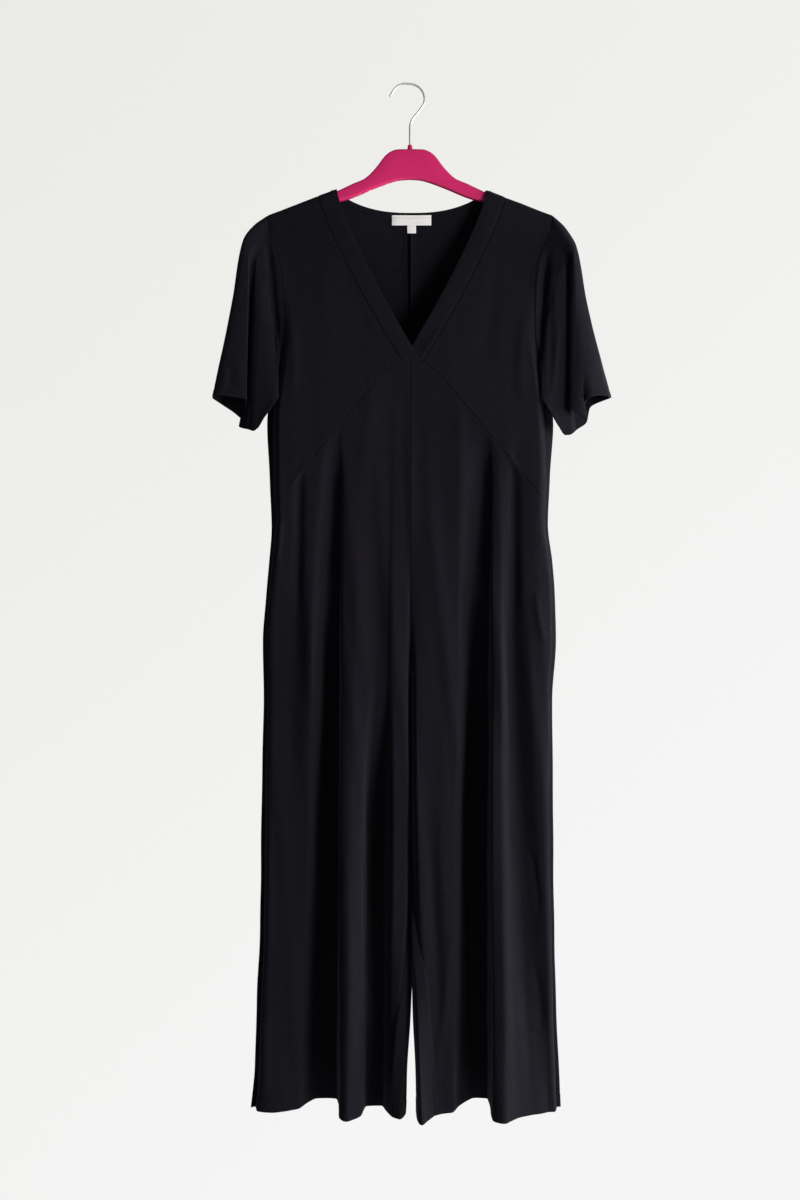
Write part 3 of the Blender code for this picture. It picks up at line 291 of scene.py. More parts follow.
# A point on the hanger's upper or lower edge: its distance from the middle, and height
HangerEdge = namedtuple("HangerEdge", "across height")
HANGER_TOP = listed(HangerEdge, (
    (0, -94), (18.5, -94.4), (29, -98), (37.4, -105), (44, -113.9), (54.3, -126.4), (66.4, -137.2),
    (82.4, -144),
))
HANGER_FOOT = listed(HangerEdge, (
    (0, -137.6), (14, -138.6), (28, -142.3), (42, -147.3), (56, -152.8), (75, -161), (94, -167.8),
    (108, -170.8),
))
HANGER_TIP_HEIGHT = 13.0
BOSS_RADIUS = 4.5
BOSS_TOP = -88.0

# The hook's centre line, from its open end over the top and down the stem
HOOK_PATH = (
    (-29.1, -16.6), (-24.8, -9.2), (-18.6, -2.2), (-10.5, 1.4), (-1.0, 1.5), (8.5, -0.6),
    (16.2, -6.6), (20.6, -15.4), (20.8, -25.0), (16.4, -33.4), (9.6, -42.2), (3.6, -49.6),
    (0.6, -57.0), (0.0, -70.0), (0.0, -90.0), (0.0, STEM_FOOT),
)

LABEL_WIDTH, LABEL_HEIGHT, LABEL_TOP = 57.0, 14.2, -187.3
TAB_WIDTH, TAB_HEIGHT = 12.4, 11.0
LABEL_LIFT = 1.4
BOSS_TIP_RADIUS, BOSS_FOOT, HOLE_RADIUS, HOLE_OVERSHOOT = 3.2, -100.0, 1.95, 2.0
LABEL_COLUMNS, LABEL_ROWS = 5, 4

# How finely the cloth is parted: parts a column, and millimetres a row
EDGE_PARTS = (0.18, 0.4, 0.68)
LEG_PARTS = 6
BACK_PARTS = 5
BAND_PARTS = 5
ROW_STEP = 4.2
UPPER_LENGTH = 420.0
LOWER_LENGTH = 1080.0
SLEEVE_ROW_COUNT = 78
SLEEVE_LENGTH = 215.0
STITCH_ROWS = (-1.6, -0.8, 0.0, 0.8, 1.6)
CROWN_SPREAD, CROWN_SWELL = 0.09, (2.4, 4.6)
RIM_POINTS = 3
LEG_TOP_EASE = 0.13
NECK_EASE = 0.07

# Seams, hems and edges
SEAM_DIP, SEAM_DIP_WIDTH, SEAM_LEVEL = 0.9, 0.65, 0.15
LEVEL_EDGES = {
    "leg_front_left": ("inner",), "leg_front_right": ("outer", "top"),
    "bodice_front_left": ("inner", "foot"), "bodice_front_right": ("outer",),
    "neckband_front_right": ("outer",), "sleeve_left": ("top",),
}
SEAM_SWELL, SEAM_SWELL_AT, SEAM_SWELL_WIDTH = 0.05, 5.0, 4.0
ALLOWANCE, ALLOWANCE_WIDTH = 0.5, 8.0
CENTRE_ROLL, CENTRE_ROLL_AT, CENTRE_ROLL_WIDTH = 4.6, 1.6, 1.4
CENTRE_ROLL_TOP, CENTRE_ROLL_EASE = -211.0, 8.0
SEAM_BULGE = 0.06
SLIDE_REACH = 12.0
LEG_HEM, SLEEVE_HEM = 20.0, 11.0
HEM_STEP, HEM_LIFT, HEM_TURN = 1.2, 0.3, 0.8
HEM_DIP, HEM_DIP_WIDTH = 0.35, 1.2
HEM_PUCKER, HEM_PUCKER_LENGTH, HEM_PUCKER_DRIFT = 0.12, 6.5, 9.0
BAND_SWELL, BAND_SWELL_EASE = 0.35, 6.0
BACK_BAND_TURN = 1.1
SIDE_ROLL, SIDE_ROLL_AT, SIDE_ROLL_WIDTH = 1.3, 3.2, 1.8
SIDE_ROLL_CLOSED = 0.45

# Metres a wale and a loop of the jersey, a warp and a weft thread of the tape
WALE, LOOP, WARP, WEFT = 0.0011, 0.0009, 0.0006, 0.0005

# Slow unevenness: lift, wavelength across, wavelength down, phase
RIPPLES = (
    (0.55, 61, 640, 0.3), (0.4, 37, 410, 1.7), (0.3, 97, 300, 4.1), (0.2, 24, 230, 2.2), (0.25, 140, 120, 5),
)
RIPPLE_DRIFT, RIPPLE_START, RIPPLE_EASE, RIPPLE_UPPER = 700.0, 60.0, 220.0, 0.18
CREASE_END, CREASE_CALM = 0.3, 14.0
SEAM_SHUT = 0.12
TINY = 1e-9

# Hanger and hook
HANGER_STATIONS = (
    0.0, 7.0, 13.0, 18.5, 23.0, 27.0, 31.0, 34.5, 37.4, 40.5, 44.0, 48.0, 52.0, 56.5, 61.0, 66.4,
    73.0, 82.4, 94.0, 108.0, 130.0, 152.0, 174.0, 196.0,
)
TIP_ROUNDING = 5.0
BOSS_LIP = 0.9
WIRE_PARTS = 5
WIRE_TURN = -1
NEAR, BOSS_RIM = 0.01, 0.1
SMOOTH_BELOW, SHARP_ABOVE = math.radians(40), math.radians(60)
WELD = 0.00001

# Studio: name, place, size, power and colour of each light
LIGHTS = (
    ("key", (2.5, -2.3, -0.55), 1.3, 98.0, (1.0, 0.985, 0.97)),
    ("side", (3.5, -0.45, -1.1), 1.6, 150.0, (1.0, 0.985, 0.97)),
    ("low", (2.0, -1.3, -1.6), 0.9, 18.0, (1.0, 0.99, 0.98)),
    ("rear", (1.3, 3.3, -0.3), 1.8, 65.0, (1.0, 0.99, 0.98)),
    ("fill", (-0.8, -3.6, -1.2), 1.8, 8.0, (0.95, 0.96, 1.0)),
)
LIGHT_AIM = (0.0, 0.0, -0.75)
FLOOR_RADIUS = 1.3
# Backdrop colours that only the camera sees, mixed along WORLD_TURN: painted shade makes the backdrop darker
# and warmer towards the top and the left, and painted light makes it brighter towards the right. The world
# lights the scene only evenly, with WORLD_LOWER at WORLD_LIGHTING
WORLD_UPPER = (0.826, 0.82, 0.79, 1.0)
WORLD_LOWER = (0.913, 0.913, 0.913, 1.0)
WORLD_TURN = (0.8, 0.0, -0.9)
WORLD_MIDDLE = 0.65
WORLD_LIGHTING = 0.085
CAMERA_PLACE = (-0.01455, -1.7, -0.7492)
FRAME_HEIGHT = 1.7456
SENSOR = 24.0


# Curves


def smooth(stops, values, at):
    """A curve through values at stops that never passes beyond two neighbouring values."""
    stops = np.asarray(stops, float)
    values = np.asarray(values, float)
    if stops[0] > stops[-1]:
        stops, values = stops[::-1], values[::-1]
    steps = np.diff(stops)
    slopes = np.diff(values) / steps
    tangents = np.zeros_like(values)
    same_way = slopes[:-1] * slopes[1:] > 0
    near, far = 2 * steps[1:] + steps[:-1], steps[1:] + 2 * steps[:-1]
    safe = np.where(same_way, slopes[:-1], 1.0), np.where(same_way, slopes[1:], 1.0)
    mean = (near + far) / (near / safe[0] + far / safe[1])
    tangents[1:-1] = np.where(same_way, mean, 0.0)
    tangents[0], tangents[-1] = slopes[0], slopes[-1]
    at = np.clip(np.asarray(at, float), stops[0], stops[-1])
    cell = np.clip(np.searchsorted(stops, at, side="right") - 1, 0, len(steps) - 1)
    t = (at - stops[cell]) / steps[cell]
    return (
        values[cell] * (1 + 2 * t) * (1 - t) ** 2
        + tangents[cell] * steps[cell] * t * (1 - t) ** 2
        + values[cell + 1] * t**2 * (3 - 2 * t)
        + tangents[cell + 1] * steps[cell] * t**2 * (t - 1)
    )


def column(table, name):
    return [getattr(row, name) for row in table]


def from_table(table, name, height):
    return smooth(column(table, "height"), column(table, name), height)


def soft_step(share):
    share = np.clip(share, 0.0, 1.0)
    return share**2 * (3 - 2 * share)


def empire_height(across):
    """The empire seam's height at a distance from the centre line."""
    reach = (np.abs(across) ** 3 + EMPIRE_APEX**3) ** (1 / 3) - EMPIRE_APEX
    return EMPIRE_TOP - EMPIRE_SLOPE * reach


def ridge_height(across):
    """The shoulder ridge's height; within the neck it stays at the neck point's."""
    beyond = np.maximum(np.abs(across) - NECK_POINT[0], 0.0)
    return NECK_POINT[1] - SHOULDER_SLOPE * beyond


def seam_reach(side, height):
    """Half width to the armhole or side seam on one side, -1 left or 1 right."""
    return from_table(SIDES, "seam_left" if side < 0 else "seam_right", height)


def outline_reach(side, height):
    return from_table(SIDES, "outline_left" if side < 0 else "outline_right", height)


def plain_depth(name, across, height):
    """Depth of the plain front or back surface: round over the shoulder ridge, then easing out."""
    drop = np.maximum(ridge_height(across) - height, 0.0)
    arch = np.sqrt(1 - (1 - np.minimum(drop / RIDGE_RADIUS, 1.0)) ** 2)
    share = 1 - np.exp(-np.maximum(drop - RIDGE_RADIUS, 0.0) / RIDGE_EASE)
    ridge = RIDGE_RADIUS if name == "back" else -RIDGE_RADIUS
    return ridge * arch + (from_table(DEPTHS, name, height) - ridge) * share


def edge_depth(name, across, height):
    """Depth of the front's or back's edge along the armhole and the side seam."""
    drop = np.maximum(ridge_height(across) - height, 0.0)
    share = soft_step((drop - RIDGE_RADIUS) / EDGE_EASE)
    near_ridge = plain_depth(name, across, height)
    return near_ridge + (from_table(DEPTHS, name + "_edge", height) - near_ridge) * share


def body_depth(name, side, across, height):
    """Depth of the front or back surface, turned towards its edge near the side."""
    plain = plain_depth(name, across, height)
    turn = np.clip(1 - (seam_reach(side, height) - across) / EDGE_ROUNDING, 0.0, 1.0) ** 2
    return plain + (edge_depth(name, across, height) - plain) * turn


def side_foot(side):
    """Height where the empire seam meets the side seam."""
    return float(empire_height(seam_reach(side, EMPIRE_SIDE)))


def neck_curve(share, drop):
    """Height of the back neck's curve at a share of its reach."""
    bend, ease = BACK_NECK_POWERS
    return NECK_POINT[1] - drop * (1 - np.abs(share) ** bend) ** ease


def back_top(across):
    """Height of the back panels' upper edge: the shoulder ridge, then the back neck band's seam."""
    share = np.clip((across - NECK_CENTRE) / (BACK_NECK_REACH + BACK_BAND_WIDTH), -1.0, 1.0)
    return np.minimum(ridge_height(across), neck_curve(share, BACK_NECK_DROP + BACK_BAND_WIDTH))


# Grids of points: rows run down a piece, columns across it


def close_to_ends(marks):
    """Adds marks near the first and the last one, where a seam's groove lies."""
    first, last = marks[1] - marks[0], marks[-1] - marks[-2]
    extra = [marks[0] + first * part for part in EDGE_PARTS]
    extra += [marks[-1] - last * part for part in EDGE_PARTS]
    extra += [marks[1] + first / 2, marks[-2] - last / 2]
    return np.unique(np.round(np.concatenate([marks, extra]), 6))


def row_marks(shares, length):
    """Row numbers that are whole at each of the shares, parted evenly between, and their shares."""
    marks = [0.0]
    for index, (upper, lower) in enumerate(zip(shares, shares[1:])):
        count = max(1, math.ceil((lower - upper) * length / ROW_STEP))
        marks.extend(index + np.arange(1, count + 1) / count)
    marks = close_to_ends(np.array(marks))
    return marks, np.interp(marks, np.arange(len(shares)), shares)


def column_marks(count, parts):
    return close_to_ends(np.arange(count * parts + 1) / parts)


def column_places(folds, before=(), after=()):
    """Places of a panel's stations along it, counted in columns."""
    counts = list(before) + [fold.columns for fold in folds] + list(after)
    return np.concatenate([[0], np.cumsum(counts)])


def fold_line(fold, start, start_height, start_depth, height):
    """One ridge or valley's point at a height."""
    stops = (start_height, HIP, KNEE, HEM)
    across = smooth(stops, (start, fold.hip, fold.knee, fold.hem), height)
    onset = start_depth + (fold.hip_depth - start_depth) * FOLD_ONSET
    stops = (start_height, (start_height + HIP) / 2, HIP, KNEE, HEM)
    depth = smooth(stops, (start_depth, onset, fold.hip_depth, fold.knee_depth, fold.hem_depth), height)
    return across, depth, height


def row_through(places, columns, stations):
    """One row of points through (distance from the centre line, depth, height) stations."""
    across, depth, height = np.array(stations, float).T
    return np.stack([smooth(places, values, columns) for values in (across, depth, height)], axis=-1)


def eased_to(edge, rows, shares, ease):
    """Rows moved so that the first lies on an exact edge, less and less further down."""
    fade = 1 - soft_step(np.asarray(shares)[: len(rows)] / ease)
    return rows + (edge - rows[0]) * fade[:, None, None]


def leg_columns(side):
    """Where a front leg's stations and columns lie, and the number of the column where the neck
    band's seam meets the empire seam."""
    places = column_places(FRONT_FOLDS[side], after=(CENTRE_COLUMNS,))
    bodice = close_to_ends(np.arange(places[-2] * LEG_PARTS + 1) / LEG_PARTS)
    columns = np.unique(np.concatenate([bodice, column_marks(places[-1], LEG_PARTS)]))
    return places, columns, int(np.flatnonzero(columns == places[-2])[0])


def leg_front_points(side, lower):
    """The front leg: from the side seam across the folds to the centre front and inseam."""
    folds, inner = FRONT_FOLDS[side], INNER_EDGES[side]
    places, columns, _ = leg_columns(side)
    starts = np.array([seam_reach(side, side_foot(side))] + [fold.start for fold in folds] + [0.0])
    starts[-2] = abs(NECK_CENTRE + side * BAND_OUTER[-1][0])
    start_heights = empire_height(starts)
    start_heights[0] = side_foot(side)
    start_depths = body_depth("front", side, starts, start_heights)
    top = smooth(places, starts, columns)
    top_heights = empire_height(top)
    top_heights[0] = side_foot(side)
    seam = np.stack([top, body_depth("front", side, top, top_heights), top_heights], axis=-1)
    rows = []
    for share in lower:
        heights = start_heights + (HEM - start_heights) * share
        side_height, inner_height = heights[0], heights[-1]
        side_depth = edge_depth("front", starts[0], side_height)
        stations = [(seam_reach(side, side_height), side_depth, side_height)]
        stations += map(fold_line, folds, starts[1:], start_heights[1:], start_depths[1:], heights[1:])
        across = from_table(inner, "across", inner_height)
        stations.append((across, from_table(inner, "front", inner_height), inner_height))
        row = row_through(places, columns, stations)
        inward = row[0, 0] - row[:, 0]
        fill = 1 - np.exp(-((inward / EDGE_FILL_WIDTH) ** 2))
        fill *= 1 - soft_step(inward / (stations[0][0] - stations[1][0]))
        row[:, 1] += EDGE_FILL * (stations[1][1] - stations[0][1]) * fill
        rows.append(row)
    points = eased_to(seam, np.array(rows), lower, LEG_TOP_EASE)
    points[..., 0] *= side
    return points


def bezier(path, share):
    """Points at shares of the way along a cubic curve through four control points."""
    a, b, c, d = (np.array(point) for point in path)
    t = np.asarray(share, float)[:, None]
    return a * (1 - t) ** 3 + 3 * b * t * (1 - t) ** 2 + 3 * c * t**2 * (1 - t) + d * t**3


def band_points(side, shares):
    """A front neck band, from its seam with the bodice to its free edge: its top is on the shoulder
    ridge and its foot on the empire seam. The right one passes under the left one."""
    outer, inner = bezier(BAND_OUTER, shares), bezier(BAND_INNER, shares)
    mix = (column_marks(BAND_COLUMNS, BAND_PARTS) / BAND_COLUMNS)[None, :, None]
    grid = outer[:, None] * (1 - mix) + inner[:, None] * mix
    across = NECK_CENTRE + side * grid[..., 0]
    height = grid[..., 1]
    top_shift = ridge_height(across[0]) - height[0]
    foot_shift = empire_height(across[-1]) - height[-1]
    height = height + top_shift * (1 - shares[:, None]) ** BAND_END_FADE
    height = height + foot_shift * shares[:, None] ** BAND_END_FADE
    depth = plain_depth("front", across, height)
    if side > 0:
        sink = soft_step((UNDERLAP_FROM - height) / (UNDERLAP_FROM - UNDERLAP_FULL))
        depth = depth + BAND_UNDERLAP * sink * soft_step(mix[..., 0] / UNDERLAP_WIDTH)
    return np.stack([across, depth, height], axis=-1)


def bodice_points(side, leg, upper, band):
    """The front bodice, blended from its four edges: armhole and side seam, shoulder, band's seam
    and empire seam."""
    last = leg_columns(side)[2]
    foot = leg[0, : last + 1][:, [0, 2]]
    heights = SHOULDER_END + (side_foot(side) - SHOULDER_END) * upper
    outer = np.stack([side * seam_reach(side, heights), heights], axis=-1)
    inner = band[:, 0][:, [0, 2]]
    places = np.abs(foot[:, 0] - foot[0, 0]) / abs(foot[-1, 0] - foot[0, 0])
    top = outer[0] + (inner[0] - outer[0]) * places[:, None]
    down, over = upper[:, None, None], places[None, :, None]
    corners = (1 - down) * ((1 - over) * outer[0] + over * inner[0])
    corners = corners + down * ((1 - over) * outer[-1] + over * inner[-1])
    grid = (1 - over) * outer[:, None] + over * inner[:, None]
    grid = grid + (1 - down) * top[None] + down * foot[None] - corners
    depth = body_depth("front", side, np.abs(grid[..., 0]), grid[..., 1])
    return np.stack([grid[..., 0], depth, grid[..., 1]], axis=-1)


def back_side_stations(side, heights):
    """The back's points on the side seam, on the outline and on the flat beside it."""
    seam_height, outline_height, corner_height = heights
    seam = seam_reach(side, seam_height)
    outline = outline_reach(side, outline_height)
    corner = outline_reach(side, corner_height) - CORNER_REACH
    lower = soft_step((UNDERARM_TURN - outline_height) / (UNDERARM_TURN - UNDERARM))
    outline_plain = body_depth("back", side, outline, outline_height)
    return [
        (seam, edge_depth("back", seam, seam_height), seam_height),
        (outline, outline_plain + (OUTLINE_DEPTHS[side] - outline_plain) * lower, outline_height),
        (corner, plain_depth("back", corner, corner_height) - CORNER_EASE * lower, corner_height),
    ]


def back_points(side, upper, lower):
    """A back panel: from the side seam round the outline and across the back to the centre back,
    and below the crotch round the inner leg to the inseam on its front."""
    folds, inner, turns = BACK_FOLDS[side], INNER_EDGES[side], TURNS[side]
    places = column_places(folds, SIDE_COLUMNS, TURN_COLUMNS)
    columns = column_marks(places[-1], BACK_PARTS)
    starts = [fold.start for fold in folds]
    starts[NECK_FOLD] = abs(NECK_CENTRE + side * (BACK_NECK_REACH + BACK_BAND_WIDTH))
    middle = starts + [turns[0].corner, turns[0].inmost, turns[0].ridge, 0.0]
    side_top = [SHOULDER_END, ridge_height(outline_reach(side, SHOULDER_END))]
    side_top.append(ridge_height(outline_reach(side, SHOULDER_END) - CORNER_REACH))
    foot = side_foot(side)
    side_base = [foot, foot, empire_height(outline_reach(side, foot) - CORNER_REACH)]
    tops = np.array(side_top + [back_top(side * across) for across in middle])
    bases = np.array(side_base + [empire_height(across) for across in middle])
    rows = []
    for share in upper[:-1]:
        heights = tops + (bases - tops) * share
        stations = back_side_stations(side, heights[:3])
        for across, height in zip(middle, heights[3:]):
            stations.append((across, plain_depth("back", across, height), height))
        rows.append(row_through(places, columns, stations))
    edge = rows[0].copy()
    neck = edge[:, 0] < starts[NECK_FOLD]
    edge[neck, 2] = back_top(side * edge[neck, 0])
    edge[neck, 1] = plain_depth("back", edge[neck, 0], edge[neck, 2])
    rows = list(eased_to(edge, np.array(rows), upper[:-1], NECK_EASE))
    for share in lower:
        heights = bases + (HEM - bases) * share
        stations = back_side_stations(side, heights[:3])
        for fold, start, base, height in zip(folds, starts, bases[3:], heights[3:]):
            stations.append(fold_line(fold, start, base, plain_depth("back", start, base), height))
        for name, height in zip(("corner", "inmost", "ridge"), heights[-4:]):
            across = from_table(turns, name, height)
            stations.append((across, from_table(turns, name + "_depth", height), height))
        low = heights[-1]
        stations.append((from_table(inner, "across", low), from_table(inner, "back", low), low))
        rows.append(row_through(places, columns, stations))
    points = np.array(rows)
    points[..., 0] *= side
    return points


def back_band_points(backs):
    """The back neck band, from its free edge down to its seam with the back panels."""
    left = backs[-1].points[0, neck_columns(backs[-1])]
    right = backs[1].points[0, neck_columns(backs[1])]
    seam = np.concatenate([left, right[::-1][1:]])
    share = np.clip((seam[:, 0] - NECK_CENTRE) / (BACK_NECK_REACH + BACK_BAND_WIDTH), -1.0, 1.0)
    across = NECK_CENTRE + BACK_NECK_REACH * share
    height = np.minimum(neck_curve(share, BACK_NECK_DROP), ridge_height(across))
    rows = []
    for part in column_marks(2, BAND_PARTS) / 2:
        x = across + (seam[:, 0] - across) * part
        z = np.minimum(height + (seam[:, 2] - height) * part, ridge_height(x))
        rows.append(np.stack([x, plain_depth("back", x, z), z], axis=-1))
    return np.array(rows)


def underarm_row(upper_marks):
    return int(np.flatnonzero(upper_marks == UNDERARM_ROW)[0])


def round_armhole(front, back, underarm):
    """The outer edges of a bodice's and a back's rows, joined from the shoulder round to it again."""
    return np.concatenate([front[: underarm + 1, 0], back[1:underarm, 0][::-1]])


def sleeve_points(side, bodice, back, upper_marks):
    """A sleeve: a ring round the armhole, spread over the cap and down to its folded hem."""
    table = SLEEVES[side]
    underarm = underarm_row(upper_marks)
    armhole = round_armhole(bodice.points, back.points, underarm)
    front = upper_marks[: underarm + 1] / (2 * UNDERARM_ROW)
    places = np.concatenate([front, 1 - upper_marks[1:underarm][::-1] / (2 * UNDERARM_ROW)])
    armhole = with_middles(armhole, armhole[:1])
    places = with_middles(places[:, None], np.ones((1, 1)))[:, 0]
    crown = np.exp(-((np.minimum(places, 1 - places) / CROWN_SPREAD) ** 2))
    swell = crown[:, None] * (side * CROWN_SWELL[0], 0.0, CROWN_SWELL[1])
    rings = [armhole, (armhole + sleeve_ring(table, "cap", side, places, SLEEVE_CAP / 2)) / 2 + swell]
    rings.append(sleeve_ring(table, "cap", side, places, SLEEVE_CAP))
    for share, shares in ((SLEEVE_MIDDLE, MIDDLE_SHARES), (SLEEVE_LOW, LOW_SHARES)):
        cap, hem = (sleeve_ring(table, name, side, places, share) for name in ("cap", "hem"))
        rings.append(cap + (hem - cap) * shares)
    rings.append(sleeve_ring(table, "hem", side, places, 1.0))
    rings = np.array(rings)
    stops = (0.0, SLEEVE_CAP / 2, SLEEVE_CAP, SLEEVE_MIDDLE, SLEEVE_LOW, 1.0)
    shares = sleeve_shares()
    points = np.zeros((len(shares), len(armhole), 3))
    for index in range(len(armhole)):
        for axis in range(3):
            points[:, index, axis] = smooth(stops, rings[:, index, axis], shares)
    return points


def sleeve_ring(table, name, side, places, share):
    """The ring through the cap or hem ends of a sleeve's lines, at a share of the way down. A fold
    leaves the plain ring little by little from where it starts."""
    marks = column(table, "place")
    plain = [line for line in table if not line.starts]
    begun = soft_step((share - np.array(column(table, "starts"))) / FOLD_BEGINS)
    ring = []
    for values, flat in zip(np.array(column(table, name)).T, np.array(column(plain, name)).T):
        flat = smooth(column(plain, "place"), flat, marks)
        ring.append(smooth(marks, flat + (values - flat) * begun, places))
    return np.stack(ring, axis=-1) * (side, 1.0, 1.0)


def with_middles(ring, closing):
    """A ring with a point added halfway to each following one; the last is followed by closing."""
    following = np.concatenate([ring[1:], closing])
    return np.stack([ring, (ring + following) / 2], axis=1).reshape(-1, ring.shape[1])


def sleeve_shares():
    """Shares of the way down a sleeve that its rows lie at, closer where the hem is stitched."""
    shares = close_to_ends(np.linspace(0, 1, SLEEVE_ROW_COUNT + 1))
    stitch = 1 - (SLEEVE_HEM + np.array(STITCH_ROWS)) / SLEEVE_LENGTH
    return np.unique(np.concatenate([shares, stitch]))


def label_points(width, high, low):
    """A label's outer face, lying on the inside of the back neck."""
    across = np.linspace(-width / 2, width / 2, LABEL_COLUMNS) + NECK_CENTRE
    height = np.linspace(high, low, LABEL_ROWS)
    x, z = np.meshgrid(across, height)
    y = plain_depth("back", x, z) - CLOTH - LABEL_LIFT - LABEL_CLOTH
    return np.stack([x, y, z], axis=-1)


# Panels: sewn, creased and given their thickness


class Panel:
    """A piece of cloth: its outer points as rows and columns, and the outward way at each.

    It faces the way given or, as a ring, away from the middle of each row."""

    def __init__(self, name, points, faces=None):
        self.name = name
        self.points = np.array(points, float)
        self.ring = faces is None
        self.ways = self.outward()
        seen = self.points - self.points.mean(axis=1, keepdims=True) if self.ring else np.asarray(faces)
        self.reversed = bool((self.ways * seen).sum() < 0)
        if self.reversed:
            self.ways = -self.ways
        self.extra = np.zeros(self.points.shape[:2])
        self.across, self.down = self.measured()

    def outward(self):
        down = np.gradient(self.points, axis=0)
        if self.ring:
            wrapped = np.concatenate([self.points[:, -1:], self.points, self.points[:, :1]], axis=1)
            across = np.gradient(wrapped, axis=1)[:, 1:-1]
        else:
            across = np.gradient(self.points, axis=1)
        ways = np.cross(down, across)
        return ways / np.maximum(np.linalg.norm(ways, axis=2, keepdims=True), TINY)

    def measured(self):
        """How far along its row and down its column each point lies, on the flat cloth."""
        across = np.linalg.norm(np.diff(self.points, axis=1), axis=2)
        down = np.linalg.norm(np.diff(self.points, axis=0), axis=2)
        rows, columns = self.points.shape[:2]
        across = np.concatenate([np.zeros((rows, 1)), np.cumsum(across, axis=1)], axis=1)
        down = np.concatenate([np.zeros((1, columns)), np.cumsum(down, axis=0)], axis=0)
        return across, down

    def from_edge(self, edge):
        """Each point's distance from one edge, along the cloth."""
        return {
            "top": self.down,
            "foot": self.down[-1:] - self.down,
            "outer": self.across,
            "inner": self.across[:, -1:] - self.across,
        }[edge]

    def from_seams(self, edges):
        return np.min([self.from_edge(edge) for edge in edges], axis=0)

    def lift(self, amount):
        """Moves every point outwards by its own amount."""
        self.points = self.points + self.ways * amount[..., None]

    def draw_back(self, edge, gap):
        """Slides the cloth near an edge away from it, by the gap at the edge itself."""
        if edge in ("top", "foot"):
            self.points = slid(self.points.transpose(1, 0, 2), edge == "foot", gap).transpose(1, 0, 2)
        else:
            self.points = slid(self.points, edge == "inner", gap)


def run_lengths(line):
    """How far along a line each of its points lies."""
    return np.concatenate([[0], np.cumsum(np.linalg.norm(np.diff(line, axis=0), axis=1))])


def slid(lines, from_end, gap):
    """Points slid along their lines, away from the first point or the last."""
    if from_end:
        lines = lines[:, ::-1]
    gaps = np.broadcast_to(gap, len(lines))
    moved = lines.copy()
    for index in np.flatnonzero(gaps > 0):
        line = lines[index]
        along = run_lengths(line)
        ease = np.maximum(1 - along / SLIDE_REACH, 0.0) ** 2
        for axis in range(3):
            moved[index, :, axis] = np.interp(along + gaps[index] * ease, along, line[:, axis])
    return moved[:, ::-1] if from_end else moved


def sew(first, first_edge, second, second_edge):
    """Gives two sewn edges the mean of their outward ways, so that their rims lie face to face."""
    mean = first.ways[first_edge] + second.ways[second_edge]
    mean /= np.linalg.norm(mean, axis=-1, keepdims=True)
    first.ways[first_edge] = mean
    second.ways[second_edge] = mean


# A soft ridge, or with a negative lift a trough, from one point of the front or back view to
# another: (across, height) at its ends, its half width, its lift and how far its middle bows
Crease = namedtuple("Crease", "start end width lift bow", defaults=[0.0])
FRONT_CREASES = listed(Crease, (
    ((-184.5, -625), (-191.5, -700), 3, 1.6, 2), ((-194, -610), (-190, -650), 4, -1.5),
    ((-108, -520), (-113, -760), 10.5, -9.5), ((106, -500), (97, -750), 12, -9.5),
    ((-157, -535), (-161, -790), 6, -5.5), ((148, -520), (150, -800), 7.5, -6.5),
    ((180, -728), (196, -822), 5, 2.2, -4), ((172, -1105), (184, -1205), 4.5, -2.2, 2),
    ((178, -1265), (190, -1375), 5, -2.2, 2), ((62, -1190), (34, -1450), 7, 2.4, 2),
    ((30, -1120), (38, -1290), 6, -0.8, 2), ((-212, -1330), (-210, -1470), 6, 1.6, 2),
    ((-185, -1380), (-182, -1480), 7, 1.2, -2), ((-95, -235), (-60, -395), 9, -0.7, 6),
    ((-120, -250), (-108, -420), 10, 0.6, -5), ((-172, -330), (-168, -470), 7, 1.4, 4),
    ((122, -250), (100, -430), 11, -1.1, 5), ((165, -330), (160, -480), 8, 1.3, -4),
    ((-60, -430), (-70, -600), 10, 1, 3), ((70, -440), (84, -620), 10, 1, -3),
))
BACK_CREASES = listed(Crease, (
    ((-150, -420), (-60, -470), 8, 1.6, 8), ((-165, -450), (-90, -530), 9, -1.5, 9),
    ((155, -415), (70, -475), 8, 1.5, -9), ((168, -460), (95, -545), 9, -1.4, -8),
    ((-70, -250), (-82, -410), 11, -1.3, 5), ((74, -245), (86, -400), 11, -1.2, -5),
    ((-130, -640), (-60, -700), 9, 1.4, 8), ((128, -650), (58, -706), 9, 1.4, -8),
    ((-40, -760), (-110, -850), 8, 1.5, -8), ((42, -765), (108, -858), 8, 1.5, 8),
    ((-170, -900), (-176, -1090), 7, -1.3, 4), ((170, -930), (172, -1120), 7, -1.3, -4),
    ((-110, -1180), (-118, -1420), 7, 1.4, 4), ((96, -1150), (100, -1400), 7, 1.4, -4),
    ((-52, -1010), (-44, -1200), 6, -1.2, 3), ((48, -1040), (42, -1230), 6, -1.2, -3),
))
SLEEVE_CREASES = listed(Crease, (
    ((-262, -420), (-267, -455), 3, 1), ((-255, -415), (-256, -452), 3.5, -1),
    ((-246, -395), (-243, -455), 5, 1), ((-206, -205), (-187, -425), 5, -4),
    ((197, -225), (181, -430), 6.5, -8.5), ((212, -340), (200, -470), 5, 1.6, 2),
    ((250, -330), (262, -450), 6, 1.2, 2), ((275, -400), (284, -450), 4, -0.9),
))


def creased(points, creases):
    """How far each point is lifted by all of the creases together."""
    amount = np.zeros(points.shape[:2])
    for crease in creases:
        start, end = np.array(crease.start), np.array(crease.end)
        length = np.linalg.norm(end - start)
        along, beside = (end - start) / length, np.array([start[1] - end[1], end[0] - start[0]]) / length
        offset = points[..., [0, 2]] - start
        share = offset @ along / length
        bow = crease.bow * 4 * np.clip(share, 0, 1) * (1 - np.clip(share, 0, 1))
        distance = offset @ beside - bow
        ends = soft_step(share / CREASE_END) * soft_step((1 - share) / CREASE_END)
        amount += crease.lift * np.exp(-((distance / crease.width) ** 2)) * ends
    return amount


